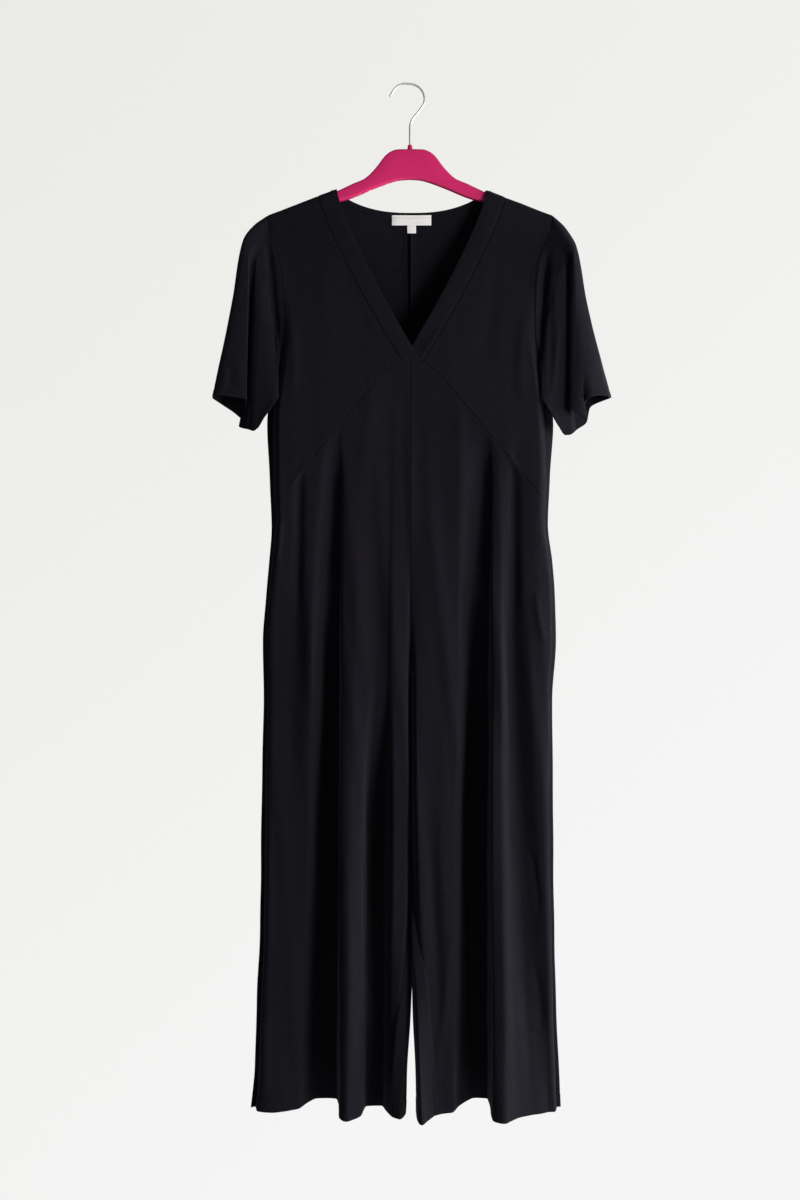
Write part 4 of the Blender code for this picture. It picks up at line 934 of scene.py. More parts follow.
def rippled(points):
    """Slow unevenness of hanging cloth, the same on both sides of a seam."""
    x, y, z = points[..., 0], points[..., 1], points[..., 2]
    amount = 0.0
    for lift, across, down, phase in RIPPLES:
        turn = 2 * math.pi * (x / across + z / down + y / across / 2) + phase
        amount = amount + lift * np.sin(turn + np.sin(2 * math.pi * z / RIPPLE_DRIFT + phase))
    depth = EMPIRE_TOP - z
    return amount * (RIPPLE_UPPER + (1 - RIPPLE_UPPER) * soft_step((depth - RIPPLE_START) / RIPPLE_EASE))


def seamed(panel, seams):
    """The dip of each seam and the low swell of the allowance beside it. Allowances are pressed to
    the viewer's right, so the edge on a seam's left lies nearly level."""
    beside = (panel.from_seams(seams) - SEAM_SWELL_AT) / SEAM_SWELL_WIDTH
    amount = SEAM_SWELL * np.exp(-(beside**2))
    for edge in seams:
        share = SEAM_LEVEL if edge in LEVEL_EDGES.get(panel.name, ()) else 1.0
        amount -= SEAM_DIP * share * np.exp(-((panel.from_edge(edge) / SEAM_DIP_WIDTH) ** 2))
    return amount


def hemmed(panel, depth):
    """Lifts the doubled cloth below a hem's stitches and turns the edge up inside."""
    distance = panel.from_edge("foot")
    doubled = 1 - soft_step((distance - depth + HEM_STEP) / (2 * HEM_STEP))
    dip = -HEM_DIP * np.exp(-(((distance - depth) / HEM_DIP_WIDTH) ** 2))
    turn = 2 * math.pi * panel.across / HEM_PUCKER_LENGTH + panel.across / HEM_PUCKER_DRIFT
    pucker = HEM_PUCKER * np.sin(turn)
    panel.lift(doubled * (HEM_LIFT + pucker) + dip)
    panel.extra += doubled * HEM_TURN


def wall_mesh(panel, thickness, round_edges):
    """The closed wall of a panel: its outer and inner skins and a rim of RIM_POINTS between them."""
    rows, columns = panel.points.shape[:2]
    outer = panel.points
    inner = outer - panel.ways * (thickness + panel.extra)[..., None]
    grid = np.arange(rows * columns).reshape(rows, columns)
    if panel.ring:
        loops = [grid[0], grid[-1][::-1]]
        across = np.concatenate([grid, grid[:, :1]], axis=1)
    else:
        loops = [np.concatenate([grid[0], grid[1:, -1], grid[-1, -2::-1], grid[-2:0:-1, 0]])]
        across = grid
    a, b = across[:-1, :-1].ravel(), across[1:, :-1].ravel()
    c, d = across[1:, 1:].ravel(), across[:-1, 1:].ravel()
    count = rows * columns
    quads = [np.stack([a, b, c, d], axis=1), np.stack([a, d, c, b], axis=1) + count]
    points = [outer.reshape(-1, 3), inner.reshape(-1, 3)]
    made = 2 * count
    beyond = np.zeros_like(outer)
    edges = [("top", 0, 1), ("foot", -1, -2), ("outer", 0, 1), ("inner", -1, -2)]
    for edge, line, inside in edges[:2] if panel.ring else edges:
        lines, moved = outer, beyond
        if edge in ("outer", "inner"):
            lines, moved = outer.transpose(1, 0, 2), beyond.transpose(1, 0, 2)
        step = lines[line] - lines[inside]
        bulge = thickness / 2 if edge in round_edges else SEAM_BULGE
        moved[line] += bulge * step / np.maximum(np.linalg.norm(step, axis=1, keepdims=True), TINY)
    flat_outer, flat_inner, beyond = points[0], points[1], beyond.reshape(-1, 3)
    for loop in loops:
        rings = [loop]
        for number in range(RIM_POINTS):
            angle = math.pi * (number + 1) / (RIM_POINTS + 1)
            share = (1 - math.cos(angle)) / 2
            rim = flat_outer[loop] * (1 - share) + flat_inner[loop] * share
            points.append(rim + beyond[loop] * math.sin(angle))
            rings.append(np.arange(made, made + len(loop)))
            made += len(loop)
        rings.append(loop + count)
        for near, far in zip(rings, rings[1:]):
            quads.append(np.stack([near, np.roll(near, -1), np.roll(far, -1), far], axis=1))
    quads = np.concatenate(quads)
    return np.concatenate(points) * MM, quads[:, ::-1] if panel.reversed else quads, loops


def closed_round(flat, panel):
    """Flat places of a ring's face corners, those past the closing seam carried on."""
    whole = panel.across[:, -1].max() * MM
    across = flat[:, 0].reshape(-1, 4)
    closing = across.max(axis=1, keepdims=True) - across > whole / 2
    flat[:, 0] = (across + closing * whole).ravel()
    return flat


def add_cloth(panel, thickness, material, replaced, round_edges=()):
    """Makes a panel's wall as a piece of the dressed part, with the flat cloth as its UV map."""
    points, quads, loops = wall_mesh(panel, thickness, round_edges)
    mesh = bpy.data.meshes.new(panel.name)
    mesh.from_pydata(points, [], quads)
    mesh.validate()
    flat = np.stack([panel.across, -panel.from_edge("foot")], axis=-1).reshape(-1, 2) * MM
    rim = [flat[loop] for loop in loops for _ in range(RIM_POINTS)]
    flat = np.concatenate([flat, flat] + rim)
    corners = np.zeros(len(mesh.loops), int)
    mesh.loops.foreach_get("vertex_index", corners)
    flat = flat[corners]
    if panel.ring:
        flat = closed_round(flat, panel)
    cut = mesh.uv_layers.new(name="cut")
    cut.data.foreach_set("uv", flat.astype(np.float32).ravel())
    mesh.materials.append(material)
    mesh.shade_smooth()
    obj = bpy.data.objects.new("cloth_" + panel.name, mesh)
    bpy.context.scene.collection.objects.link(obj)
    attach(obj, "root")
    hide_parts(*replaced)
    return obj


# The garment, sewn together


Garment = namedtuple("Garment", "legs bodices bands backs sleeves back_band")


def one_side(parts, side):
    """One side's front leg, bodice, neck band, back and sleeve."""
    return [group[side] for group in parts[:-1]]


def neck_columns(back):
    """The columns of a back panel's upper edge that are sewn to the neck band."""
    reach = BACK_NECK_REACH + BACK_BAND_WIDTH + COLUMN_TOLERANCE
    return np.flatnonzero(np.abs(back.points[0, :, 0] - NECK_CENTRE) <= reach)


def sew_garment(parts, upper_marks, lower_marks):
    legs, backs, back_band = parts.legs, parts.backs, parts.back_band
    upper = len(upper_marks)
    underarm = underarm_row(upper_marks)
    crotch = int(np.flatnonzero(lower_marks == LOWER_ROWS.index(CROTCH_SHARE))[0])
    rows = slice(None)
    for side in (-1, 1):
        leg, bodice, band, back, sleeve = one_side(parts, side)
        last = bodice.points.shape[1]
        sew(leg, (0, slice(0, last)), bodice, (-1, slice(0, last)))
        sew(bodice, (rows, -1), band, (rows, 0))
        sew(leg, (rows, 0), back, (slice(upper - 1, None), 0))
        sew(leg, (slice(crotch, None), -1), back, (slice(upper - 1 + crotch, None), -1))
        sew(bodice, (slice(underarm, None), 0), back, (slice(underarm, upper), 0))
        bodice.ways[0] = band.ways[0] = SHOULDER_WAY
        ring = round_armhole(bodice.ways, back.ways, underarm)
        between = ring + np.roll(ring, -1, axis=0)
        between /= np.linalg.norm(between, axis=1, keepdims=True)
        sleeve.ways[0] = np.stack([ring, between], axis=1).reshape(-1, 3)
    sew(legs[-1], (slice(0, crotch), -1), legs[1], (slice(0, crotch), -1))
    sew(backs[-1], (slice(0, upper - 1 + crotch), -1), backs[1], (slice(0, upper - 1 + crotch), -1))
    left_neck, right_neck = neck_columns(backs[-1]), neck_columns(backs[1])
    sew(back_band, (-1, slice(0, len(left_neck))), backs[-1], (0, left_neck))
    sew(back_band, (-1, slice(-1, -len(right_neck) - 1, -1)), backs[1], (0, right_neck))
    back_band.ways[:, [0, -1]] = SHOULDER_WAY
    backs[-1].ways[0, : left_neck[0] + 1] = SHOULDER_WAY
    backs[1].ways[0, : right_neck[0] + 1] = SHOULDER_WAY


def mouth_share(lower):
    """How open the pocket's mouth is beside each row of a front leg."""
    top, foot = (LOWER_ROWS[row] for row in POCKET_ROWS)
    upper_end, lower_end = (LOWER_ROWS[row] for row in MOUTH_OPEN_ROWS)
    return soft_step((lower - top) / (upper_end - top)) * soft_step((foot - lower) / (foot - lower_end))


@lru_cache(maxsize=1)
def sewn_garment(crease_share):
    """Every outer panel, sewn, creased and drawn back from its seams."""
    upper_marks, upper = row_marks(UPPER_ROWS, UPPER_LENGTH)
    lower_marks, lower = row_marks(LOWER_ROWS, LOWER_LENGTH)
    legs, bodices, bands, backs, sleeves = {}, {}, {}, {}, {}
    for side, word in WORDS.items():
        leg, band = leg_front_points(side, lower), band_points(side, upper)
        legs[side] = Panel(f"leg_front_{word}", leg, FORWARDS)
        bands[side] = Panel(f"neckband_front_{word}", band, FORWARDS)
        bodice = bodice_points(side, leg, upper, band)
        bodices[side] = Panel(f"bodice_front_{word}", bodice, FORWARDS)
        backs[side] = Panel(f"back_{word}", back_points(side, upper, lower), BACKWARDS)
        ring = sleeve_points(side, bodices[side], backs[side], upper_marks)
        sleeves[side] = Panel(f"sleeve_{word}", ring)
    back_band = Panel("neckband_back", back_band_points(backs), BACKWARDS)
    parts = Garment(legs, bodices, bands, backs, sleeves, back_band)
    sew_garment(parts, upper_marks, lower_marks)
    for side in (-1, 1):
        leg, bodice, band, back, sleeve = one_side(parts, side)
        for panel, seams, creases in (
            (leg, ("top", "outer", "inner"), FRONT_CREASES),
            (bodice, ("top", "foot", "outer", "inner"), FRONT_CREASES),
            (band, ("top", "outer"), ()),
            (back, ("top", "outer", "inner"), BACK_CREASES),
            (sleeve, ("top",), SLEEVE_CREASES),
        ):
            distance = panel.from_seams(seams)
            calm = soft_step(distance / CREASE_CALM)
            amount = seamed(panel, seams) + rippled(panel.points) * crease_share
            panel.lift(amount + creased(panel.points, creases) * calm * crease_share)
            panel.extra += ALLOWANCE * (1 - soft_step((distance - ALLOWANCE_WIDTH) / HEM_STEP))
            for edge in seams:
                if edge != "inner" or panel is bodice:
                    panel.draw_back(edge, SEAM_SHUT / 2)
        mouth = mouth_share(lower)
        openness = SIDE_ROLL_CLOSED + (1 - SIDE_ROLL_CLOSED) * mouth
        leg.lift(side_roll(leg) * openness[:, None])
        below = soft_step((UNDERARM_TURN - bodice.points[..., 2]) / EDGE_EASE)
        bodice.lift(side_roll(bodice) * SIDE_ROLL_CLOSED * below)
        leg.draw_back("outer", POCKET_EASE * mouth)
        if side > 0:
            beside = (back.from_edge("inner") - CENTRE_ROLL_AT) / CENTRE_ROLL_WIDTH
            height = back.points[..., 2]
            length = soft_step((CENTRE_ROLL_TOP - height) / CENTRE_ROLL_EASE)
            length *= soft_step((height - EMPIRE_SIDE) / EDGE_EASE)
            back.extra += CENTRE_ROLL * np.exp(-(beside**2)) * length
        hemmed(leg, LEG_HEM)
        hemmed(back, LEG_HEM)
        hemmed(sleeve, SLEEVE_HEM)
        band.lift(band_swell(band, "inner", "outer"))
        band.draw_back("foot", BAND_FOOT_GAP)
    back_band.lift(seamed(back_band, ("foot",)) + band_swell(back_band, "top", "foot"))
    back_band.extra += BACK_BAND_TURN * soft_step(back_band.from_edge("top") / HEM_STEP)
    for edge in ("foot", "outer", "inner"):
        back_band.draw_back(edge, SEAM_SHUT / 2)
    return parts


def side_roll(panel):
    """The soft roll along a front panel's side edge, pressed round the seam."""
    return SIDE_ROLL * np.exp(-(((panel.across - SIDE_ROLL_AT) / SIDE_ROLL_WIDTH) ** 2))


def band_swell(band, free_edge, seam):
    """A doubled band's soft swell, thinning to its folded edge and its seam."""
    free, sewn = (soft_step(band.from_edge(edge) / BAND_SWELL_EASE) for edge in (free_edge, seam))
    return BAND_SWELL * free * sewn


def pocket_panels(side, leg):
    """Two pocket bags, one behind the other, made from the front leg's points and moved inwards."""
    lower_marks, _ = row_marks(LOWER_ROWS, LOWER_LENGTH)
    rows = np.flatnonzero((lower_marks >= POCKET_ROWS[0]) & (lower_marks <= POCKET_ROWS[1]))[::2]
    columns = np.flatnonzero(leg_columns(side)[1] <= POCKET_LAST_COLUMN)[::2]
    grid = np.ix_(rows, columns)
    panels = []
    for name, lift in (
        (f"pocket_outer_{WORDS[side]}", CLOTH + SEAM_GAP),
        (f"pocket_inner_{WORDS[side]}", CLOTH + POCKET_CLOTH + 2 * SEAM_GAP),
    ):
        panel = Panel(name, leg.points[grid] - leg.ways[grid] * lift, FORWARDS)
        panel.draw_back("outer", POCKET_SETBACK)
        panels.append(panel)
    return panels


# Materials


class Wire:
    """A node's output that Python's operators join to Math nodes."""

    def __init__(self, nodes, socket):
        self.nodes = nodes
        self.socket = socket

    def joined(self, operation, other=0.5):
        return self.nodes.node("Math", {"operation": operation}, {0: self, 1: other})

    def __add__(self, other):
        return self.joined("ADD", other)

    def __mul__(self, other):
        return self.joined("MULTIPLY", other)

    def wave(self, length):
        """The sine of a distance, one wave a length."""
        return (self * (2 * math.pi / length)).joined("SINE")


class Nodes:
    """The nodes of a material or a world, added one by one."""

    def __init__(self, owner):
        owner.use_nodes = True
        self.tree = owner.node_tree

    def node(self, kind, settings=None, inputs=None, output=0):
        """Adds a node: its settings first, then the values or links of its sockets."""
        made = self.tree.nodes.new("ShaderNode" + kind)
        for name, value in (settings or {}).items():
            setattr(made, name, value)
        for name, value in (inputs or {}).items():
            if isinstance(value, Wire):
                self.tree.links.new(value.socket, made.inputs[name])
            else:
                made.inputs[name].default_value = value
        return Wire(self, made.outputs[output])

    def mix(self, factor, first, second):
        """One colour turned into another by a factor."""
        return self.node("Mix", {"data_type": "RGBA"}, {0: factor, 6: first, 7: second}, 2)


class Finish(Nodes):
    """A material whose shader is the Principled BSDF."""

    def __init__(self, name, **constants):
        self.material = bpy.data.materials.new(name)
        super().__init__(self.material)
        self.shader = self.tree.nodes["Principled BSDF"]
        for socket, value in constants.items():
            self.shader.inputs[socket.replace("_", " ")].default_value = value

    def place(self, stretch=(1.0, 1.0, 1.0)):
        place = self.node("TexCoord", output="Object")
        return self.node("Mapping", None, {"Vector": place, "Scale": stretch})

    def on_cut(self, axis):
        """How far across (0) or down (1) the flat cloth a point lies."""
        return self.node("SeparateXYZ", None, {0: self.node("UVMap", {"uv_map": "cut"})}, axis)

    def noise(self, scale, detail, roughness=0.5, stretch=(1.0, 1.0, 1.0)):
        inputs = {"Vector": self.place(stretch), "Scale": scale, "Detail": detail, "Roughness": roughness}
        return self.node("TexNoise", None, inputs)

    def spread(self, value, low, high):
        """A value stretched so that low becomes 0 and high becomes 1."""
        return self.node("MapRange", None, {"Value": value, "From Min": low, "From Max": high})

    def coloured(self, factor, colour, low, high):
        """Feeds the colour, darkened or lightened by a share that a factor turns from low to high."""
        self.feed("Base Color", self.mix(factor, shaded(colour, low), shaded(colour, high)))

    def feed(self, socket, wire):
        self.tree.links.new(wire.socket, self.shader.inputs[socket])

    def bumped(self, height, distance, strength):
        inputs = {"Height": height, "Distance": distance, "Strength": strength}
        self.feed("Normal", self.node("Bump", None, inputs))


def shaded(colour, share):
    return (*(channel * share for channel in colour[:3]), 1.0)


def jersey_finish(name, colour):
    """Fine black single jersey: wales down the cloth, loops across, a little lint and sheen."""
    sheen = {"Sheen_Weight": 0.083, "Sheen_Roughness": 0.45, "Sheen_Tint": (0.55, 0.5, 0.65, 1.0)}
    finish = Finish(name, Specular_IOR_Level=0.083, **sheen)
    wale, loop = finish.on_cut(0).wave(WALE), finish.on_cut(1).wave(LOOP)
    lint = finish.noise(500.0, 3.0, 0.7)
    tone = finish.spread(finish.noise(9.0, 4.0, 0.6), 0.3, 0.7)
    base = finish.mix(tone, shaded(colour, 0.85), shaded(colour, 1.2))
    flecks = finish.spread(lint, 0.42, 0.68)
    finish.feed("Base Color", finish.mix(flecks, base, shaded(colour, 2.1)))
    finish.feed("Roughness", tone * 0.08 + 0.8)
    finish.bumped(wale * 0.5 + loop * 0.3 + lint * 0.6, 0.00012, 0.6)
    return finish.material


def tape_finish(name, colour):
    """White woven tape with fine ribs."""
    finish = Finish(name, Specular_IOR_Level=0.3, Sheen_Weight=0.1)
    weave = finish.on_cut(0).wave(WARP) * finish.on_cut(1).wave(WEFT) * 0.5 + 0.5
    finish.coloured(weave, colour, 0.93, 1.0)
    finish.feed("Roughness", weave * 0.1 + 0.65)
    finish.bumped(weave, 0.00008, 0.6)
    return finish.material


def plastic_finish(name, colour):
    """Moulded satin plastic with a faint grain and scuffs."""
    finish = Finish(name, Specular_IOR_Level=0.45)
    scuff = finish.noise(260.0, 5.0, 0.65)
    finish.coloured(finish.noise(14.0, 3.0), colour, 0.95, 1.06)
    finish.feed("Roughness", scuff * 0.16 + 0.3)
    finish.bumped(scuff, 0.00006, 0.5)
    return finish.material


def steel_finish(name, colour):
    """Drawn wire, plated and a little dulled."""
    finish = Finish(name, Metallic=0.3, Specular_IOR_Level=0.4)
    streaks = finish.noise(1800.0, 2.0, stretch=(1.0, 1.0, 0.06))
    finish.coloured(finish.noise(45.0, 3.0), colour, 0.88, 1.05)
    finish.feed("Roughness", streaks * 0.12 + 0.34)
    finish.bumped(streaks, 0.00002, 0.4)
    return finish.material


def pale_finish(name, colour):
    finish = Finish(name, Specular_IOR_Level=0.15)
    cloud = finish.noise(2.5, 3.0)
    finish.coloured(cloud, colour, 0.985, 1.0)
    finish.feed("Roughness", cloud * 0.1 + 0.8)
    return finish.material


# The hanger, shaped in edit mode


def pick(obj, kind, wanted):
    """Selects the edit mesh's vertices, edges or faces whose middle and normal are wanted."""
    bpy.ops.mesh.select_mode(type=kind)
    bpy.ops.mesh.select_all(action="DESELECT")
    shape = bmesh.from_edit_mesh(obj.data)
    shape.normal_update()
    for item in {"VERT": shape.verts, "EDGE": shape.edges, "FACE": shape.faces}[kind]:
        corners = [item] if kind == "VERT" else item.verts
        middle = sum((corner.co for corner in corners), Vector()) / len(corners)
        normal = item.normal if kind == "FACE" else Vector()
        item.select_set(bool(wanted(middle / MM, normal)))
    shape.select_flush_mode()
    bmesh.update_edit_mesh(obj.data)


def start_shape(name, add, **settings):
    """Adds a primitive alone in the selection, its place in its mesh, and opens it for editing."""
    bpy.ops.object.select_all(action="DESELECT")
    add(**settings)
    obj = bpy.context.object
    obj.name = name
    obj.data.name = name
    bpy.ops.object.transform_apply(location=True, rotation=True, scale=True)
    bpy.ops.object.mode_set(mode="EDIT")
    return obj


def end_shape():
    bpy.ops.mesh.select_all(action="SELECT")
    bpy.ops.mesh.remove_doubles(threshold=WELD)
    bpy.ops.mesh.normals_make_consistent(inside=False)
    bpy.ops.object.mode_set(mode="OBJECT")


def select_only(obj):
    bpy.ops.object.select_all(action="DESELECT")
    obj.select_set(True)
    bpy.context.view_layer.objects.active = obj


def extrude(step):
    bpy.ops.mesh.extrude_region_move(TRANSFORM_OT_translate={"value": step})


def apply_modifier(obj, name, kind, **settings):
    select_only(obj)
    modifier = obj.modifiers.new(name, kind)
    for key, value in settings.items():
        setattr(modifier, key, value)
    bpy.ops.object.modifier_apply(modifier=modifier.name)


def finish_piece(obj, material, node):
    obj.data.materials.clear()
    obj.data.materials.append(material)
    select_only(obj)
    bpy.ops.object.shade_smooth_by_angle(angle=SMOOTH_BELOW)
    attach(obj, "root")
    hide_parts(node)


def hanger_edges():
    """The hanger's upper and lower edge at each station from the middle to the arm's end."""
    tip = ridge_height(HANGER_REACH) - CLOTH - HANGER_CLEARANCE
    arm = ridge_height(NECK_POINT[0]) - CLOTH - HANGER_CLEARANCE
    upper = [*HANGER_TOP, HangerEdge(NECK_POINT[0], arm), HangerEdge(HANGER_REACH, tip)]
    lower = [*HANGER_FOOT, HangerEdge(HANGER_REACH, tip - HANGER_TIP_HEIGHT)]
    across = np.array(HANGER_STATIONS)
    return across, *(
        smooth(column(edge, "across"), column(edge, "height"), across) for edge in (upper, lower)
    )


def make_hanger_body(material):
    across, upper, lower = hanger_edges()
    first = across[1] / 2
    obj = start_shape(
        "moulded_hanger",
        bpy.ops.mesh.primitive_plane_add,
        size=across[1] * MM,
        location=(first * MM, -HANGER_HALF_DEPTH * MM, 0.0),
        rotation=(math.pi / 2, 0.0, 0.0),
    )
    for number, x in enumerate(across):
        if number > 1:
            pick(obj, "EDGE", lambda middle, _: abs(middle.x - across[number - 1]) < NEAR)
            extrude(((x - across[number - 1]) * MM, 0.0, 0.0))
        shape = bmesh.from_edit_mesh(obj.data)
        ends = sorted(vert.co.z / MM for vert in shape.verts if abs(vert.co.x / MM - x) < NEAR)
        for height, target in ((ends[-1], upper[number]), (ends[0], lower[number])):
            pick(obj, "VERT", lambda at, _: abs(at.x - x) < NEAR and abs(at.z - height) < NEAR / 10)
            bpy.ops.transform.translate(value=(0.0, 0.0, (target - height) * MM))
    pick(obj, "VERT", lambda at, _: at.x > HANGER_REACH - NEAR)
    bpy.ops.mesh.bevel(offset=TIP_ROUNDING * MM, segments=5, affect="VERTICES")
    bpy.ops.object.mode_set(mode="OBJECT")
    apply_modifier(obj, "other arm", "MIRROR", merge_threshold=WELD)
    bpy.ops.object.mode_set(mode="EDIT")
    bpy.ops.mesh.select_all(action="SELECT")
    extrude((0.0, 2 * HANGER_HALF_DEPTH * MM, 0.0))
    bpy.ops.mesh.select_all(action="SELECT")
    bpy.ops.mesh.normals_make_consistent(inside=False)
    bpy.ops.mesh.select_mode(type="EDGE")
    bpy.ops.mesh.select_all(action="DESELECT")
    bpy.ops.mesh.edges_select_sharp(sharpness=SHARP_ABOVE)
    bpy.ops.mesh.bevel(offset=HANGER_EDGE * MM, segments=5, affect="EDGES")
    end_shape()
    boss = start_shape(
        "boss",
        bpy.ops.mesh.primitive_cone_add,
        vertices=40,
        radius1=BOSS_RADIUS * MM,
        radius2=BOSS_TIP_RADIUS * MM,
        depth=(BOSS_TOP - BOSS_FOOT) * MM,
        location=(0.0, 0.0, (BOSS_TOP + BOSS_FOOT) / 2 * MM),
    )
    pick(boss, "FACE", lambda middle, normal: normal.z > 0.9)
    bpy.ops.mesh.inset(thickness=BOSS_LIP * MM, depth=BOSS_LIP / 2 * MM)
    pick(boss, "EDGE", lambda middle, _: -BOSS_RIM < middle.z - BOSS_TOP < NEAR)
    bpy.ops.mesh.bevel(offset=BOSS_LIP / 3 * MM, segments=3, affect="EDGES")
    end_shape()
    apply_modifier(obj, "boss", "BOOLEAN", operation="UNION", object=boss)
    hole_top, hole_foot = BOSS_TOP + HOLE_OVERSHOOT, STEM_FOOT - STEM_CLEARANCE
    hole = start_shape(
        "stem hole",
        bpy.ops.mesh.primitive_cylinder_add,
        vertices=32,
        radius=HOLE_RADIUS * MM,
        depth=(hole_top - hole_foot) * MM,
        location=(0.0, 0.0, (hole_top + hole_foot) / 2 * MM),
    )
    end_shape()
    apply_modifier(obj, "stem hole", "BOOLEAN", operation="DIFFERENCE", object=hole)
    for helper in (boss, hole):
        bpy.data.objects.remove(helper)
    finish_piece(obj, material, "hanger_body")


def hook_path():
    """The wire's centre line from the stem's foot to the hook's open end, closely parted."""
    stations = np.array(HOOK_PATH[::-1], float)
    lengths = run_lengths(stations)
    ways = np.gradient(stations, lengths, axis=0)
    ways[0] = ways[1] = (0.0, 1.0)
    points = [stations[0]]
    for number in range(len(stations) - 1):
        span = lengths[number + 1] - lengths[number]
        for t in np.arange(1, WIRE_PARTS + 1) / WIRE_PARTS:
            near, far = (1 + 2 * t) * (1 - t) ** 2, t**2 * (3 - 2 * t)
            bend = ways[number] * span * t * (1 - t) ** 2 - ways[number + 1] * span * t**2 * (1 - t)
            points.append(stations[number] * near + stations[number + 1] * far + bend)
    return np.array(points)


def make_hook(material, wire):
    path = hook_path()
    obj = start_shape(
        "bent_hook",
        bpy.ops.mesh.primitive_circle_add,
        vertices=20,
        radius=wire / 2,
        fill_type="NGON",
        location=(path[0][0] * MM, 0.0, path[0][1] * MM),
    )
    bpy.ops.mesh.select_mode(type="FACE")
    steps = np.diff(path, axis=0)
    headings = np.unwrap(np.arctan2(steps[:, 0], steps[:, 1]))
    facing = 0.0
    for number, step in enumerate(steps):
        extrude((step[0] * MM, 0.0, step[1] * MM))
        following = headings[min(number + 1, len(headings) - 1)]
        wanted = (headings[number] + following) / 2
        centre = (path[number + 1][0] * MM, 0.0, path[number + 1][1] * MM)
        bpy.ops.transform.rotate(
            value=WIRE_TURN * (wanted - facing), orient_axis="Y", center_override=centre
        )
        facing = wanted
    bpy.ops.mesh.bevel(offset=wire / 6, segments=4, affect="EDGES")
    end_shape()
    finish_piece(obj, material, "hanger_hook")


# Settings and operators


def colour_property(name, description, colour):
    return bpy.props.FloatVectorProperty(
        name=name, description=description, default=colour, subtype="COLOR", size=3, min=0.0, max=1.0
    )


def length_property(name, description, metres):
    return bpy.props.FloatProperty(name=name, description=description, default=metres, unit="LENGTH")


class JumpsuitSizes(bpy.types.PropertyGroup):
    cloth: length_property("Cloth", "Thickness of the jersey", CLOTH * MM)
    creases: bpy.props.FloatProperty(
        name="Creases", description="Strength of the creases", default=1.0, min=0.0, max=2.0, subtype="FACTOR"
    )
    wire: length_property("Wire", "Diameter of the hook's wire", WIRE * MM)
    floor_drop: length_property("Floor", "Height of the floor below the hook", 2.45)


class JumpsuitColours(bpy.types.PropertyGroup):
    jersey: colour_property("Jersey", "Colour of the jersey", (0.00375, 0.0033, 0.0056))
    tape: colour_property("Tape", "Colour of the neck label and size tab", (0.9, 0.893, 0.873))
    plastic: colour_property("Plastic", "Colour of the moulded hanger", (0.58, 0.018, 0.125))
    steel: colour_property("Steel", "Colour of the hook's wire", (0.6, 0.59, 0.575))
    floor: colour_property("Floor", "Colour of the studio floor", (0.9, 0.895, 0.88))


def sizes():
    return bpy.context.scene.jumpsuit_sizes


def colours():
    return bpy.context.scene.jumpsuit_colours


def garment():
    return sewn_garment(round(sizes().creases, 4))


@lru_cache(maxsize=None)
def jersey():
    return jersey_finish("black jersey", tuple(colours().jersey))


def declare_sheet(panel):
    """Works out the size that a piece was cut to, the flat box of its outline and its area, and keeps
    neither.
    """
    width, length = panel.across[:, -1].max(), panel.down[-1].max()
    if panel.ring:
        closing = np.linalg.norm(panel.points[:, 0] - panel.points[:, -1], axis=1)
        width = (panel.across[:, -1] + closing).max()
    area = flat_area(panel)
    flat = (round(width * MM, 3), round(length * MM, 3))


def flat_area(panel):
    """The outer skin's area in square metres."""
    grid = panel.points
    if panel.ring:
        grid = np.concatenate([grid, grid[:, :1]], axis=1)
    first, second = grid[1:, 1:] - grid[:-1, :-1], grid[:-1, 1:] - grid[1:, :-1]
    return float(np.linalg.norm(np.cross(first, second), axis=2).sum() / 2 * MM**2)


def dress(group, round_edges=()):
    for panel in group:
        obj = add_cloth(panel, sizes().cloth / MM, jersey(), [panel.name], round_edges)
        declare_sheet(panel)


class JUMPSUIT_OT_sleeves(bpy.types.Operator):
    """Makes both flared sleeves"""

    bl_idname = "jumpsuit.sleeves"
    bl_label = "Sleeves"

    def execute(self, context):
        dress(garment().sleeves.values(), ("foot",))
        return {"FINISHED"}


class JUMPSUIT_OT_bodices(bpy.types.Operator):
    """Makes the two halves of the front bodice"""

    bl_idname = "jumpsuit.bodices"
    bl_label = "Front bodice"

    def execute(self, context):
        dress(garment().bodices.values())
        return {"FINISHED"}


class JUMPSUIT_OT_legs(bpy.types.Operator):
    """Makes the two front legs"""

    bl_idname = "jumpsuit.legs"
    bl_label = "Front legs"

    def execute(self, context):
        dress(garment().legs.values(), ("foot",))
        return {"FINISHED"}


class JUMPSUIT_OT_backs(bpy.types.Operator):
    """Makes the two full-length back pieces"""

    bl_idname = "jumpsuit.backs"
    bl_label = "Backs"

    def execute(self, context):
        dress(garment().backs.values(), ("foot",))
        return {"FINISHED"}


class JUMPSUIT_OT_neck_bands(bpy.types.Operator):
    """Makes the two front neck bands and the back one"""

    bl_idname = "jumpsuit.neck_bands"
    bl_label = "Neck bands"

    def execute(self, context):
        dress(garment().bands.values(), ("inner",))
        dress([garment().back_band], ("top",))
        return {"FINISHED"}


class JUMPSUIT_OT_pockets(bpy.types.Operator):
    """Makes the pocket bags behind the front legs"""

    bl_idname = "jumpsuit.pockets"
    bl_label = "Pockets"

    def execute(self, context):
        for side in (-1, 1):
            for panel in pocket_panels(side, garment().legs[side]):
                obj = add_cloth(panel, POCKET_CLOTH, jersey(), [panel.name])
                declare_sheet(panel)
        return {"FINISHED"}


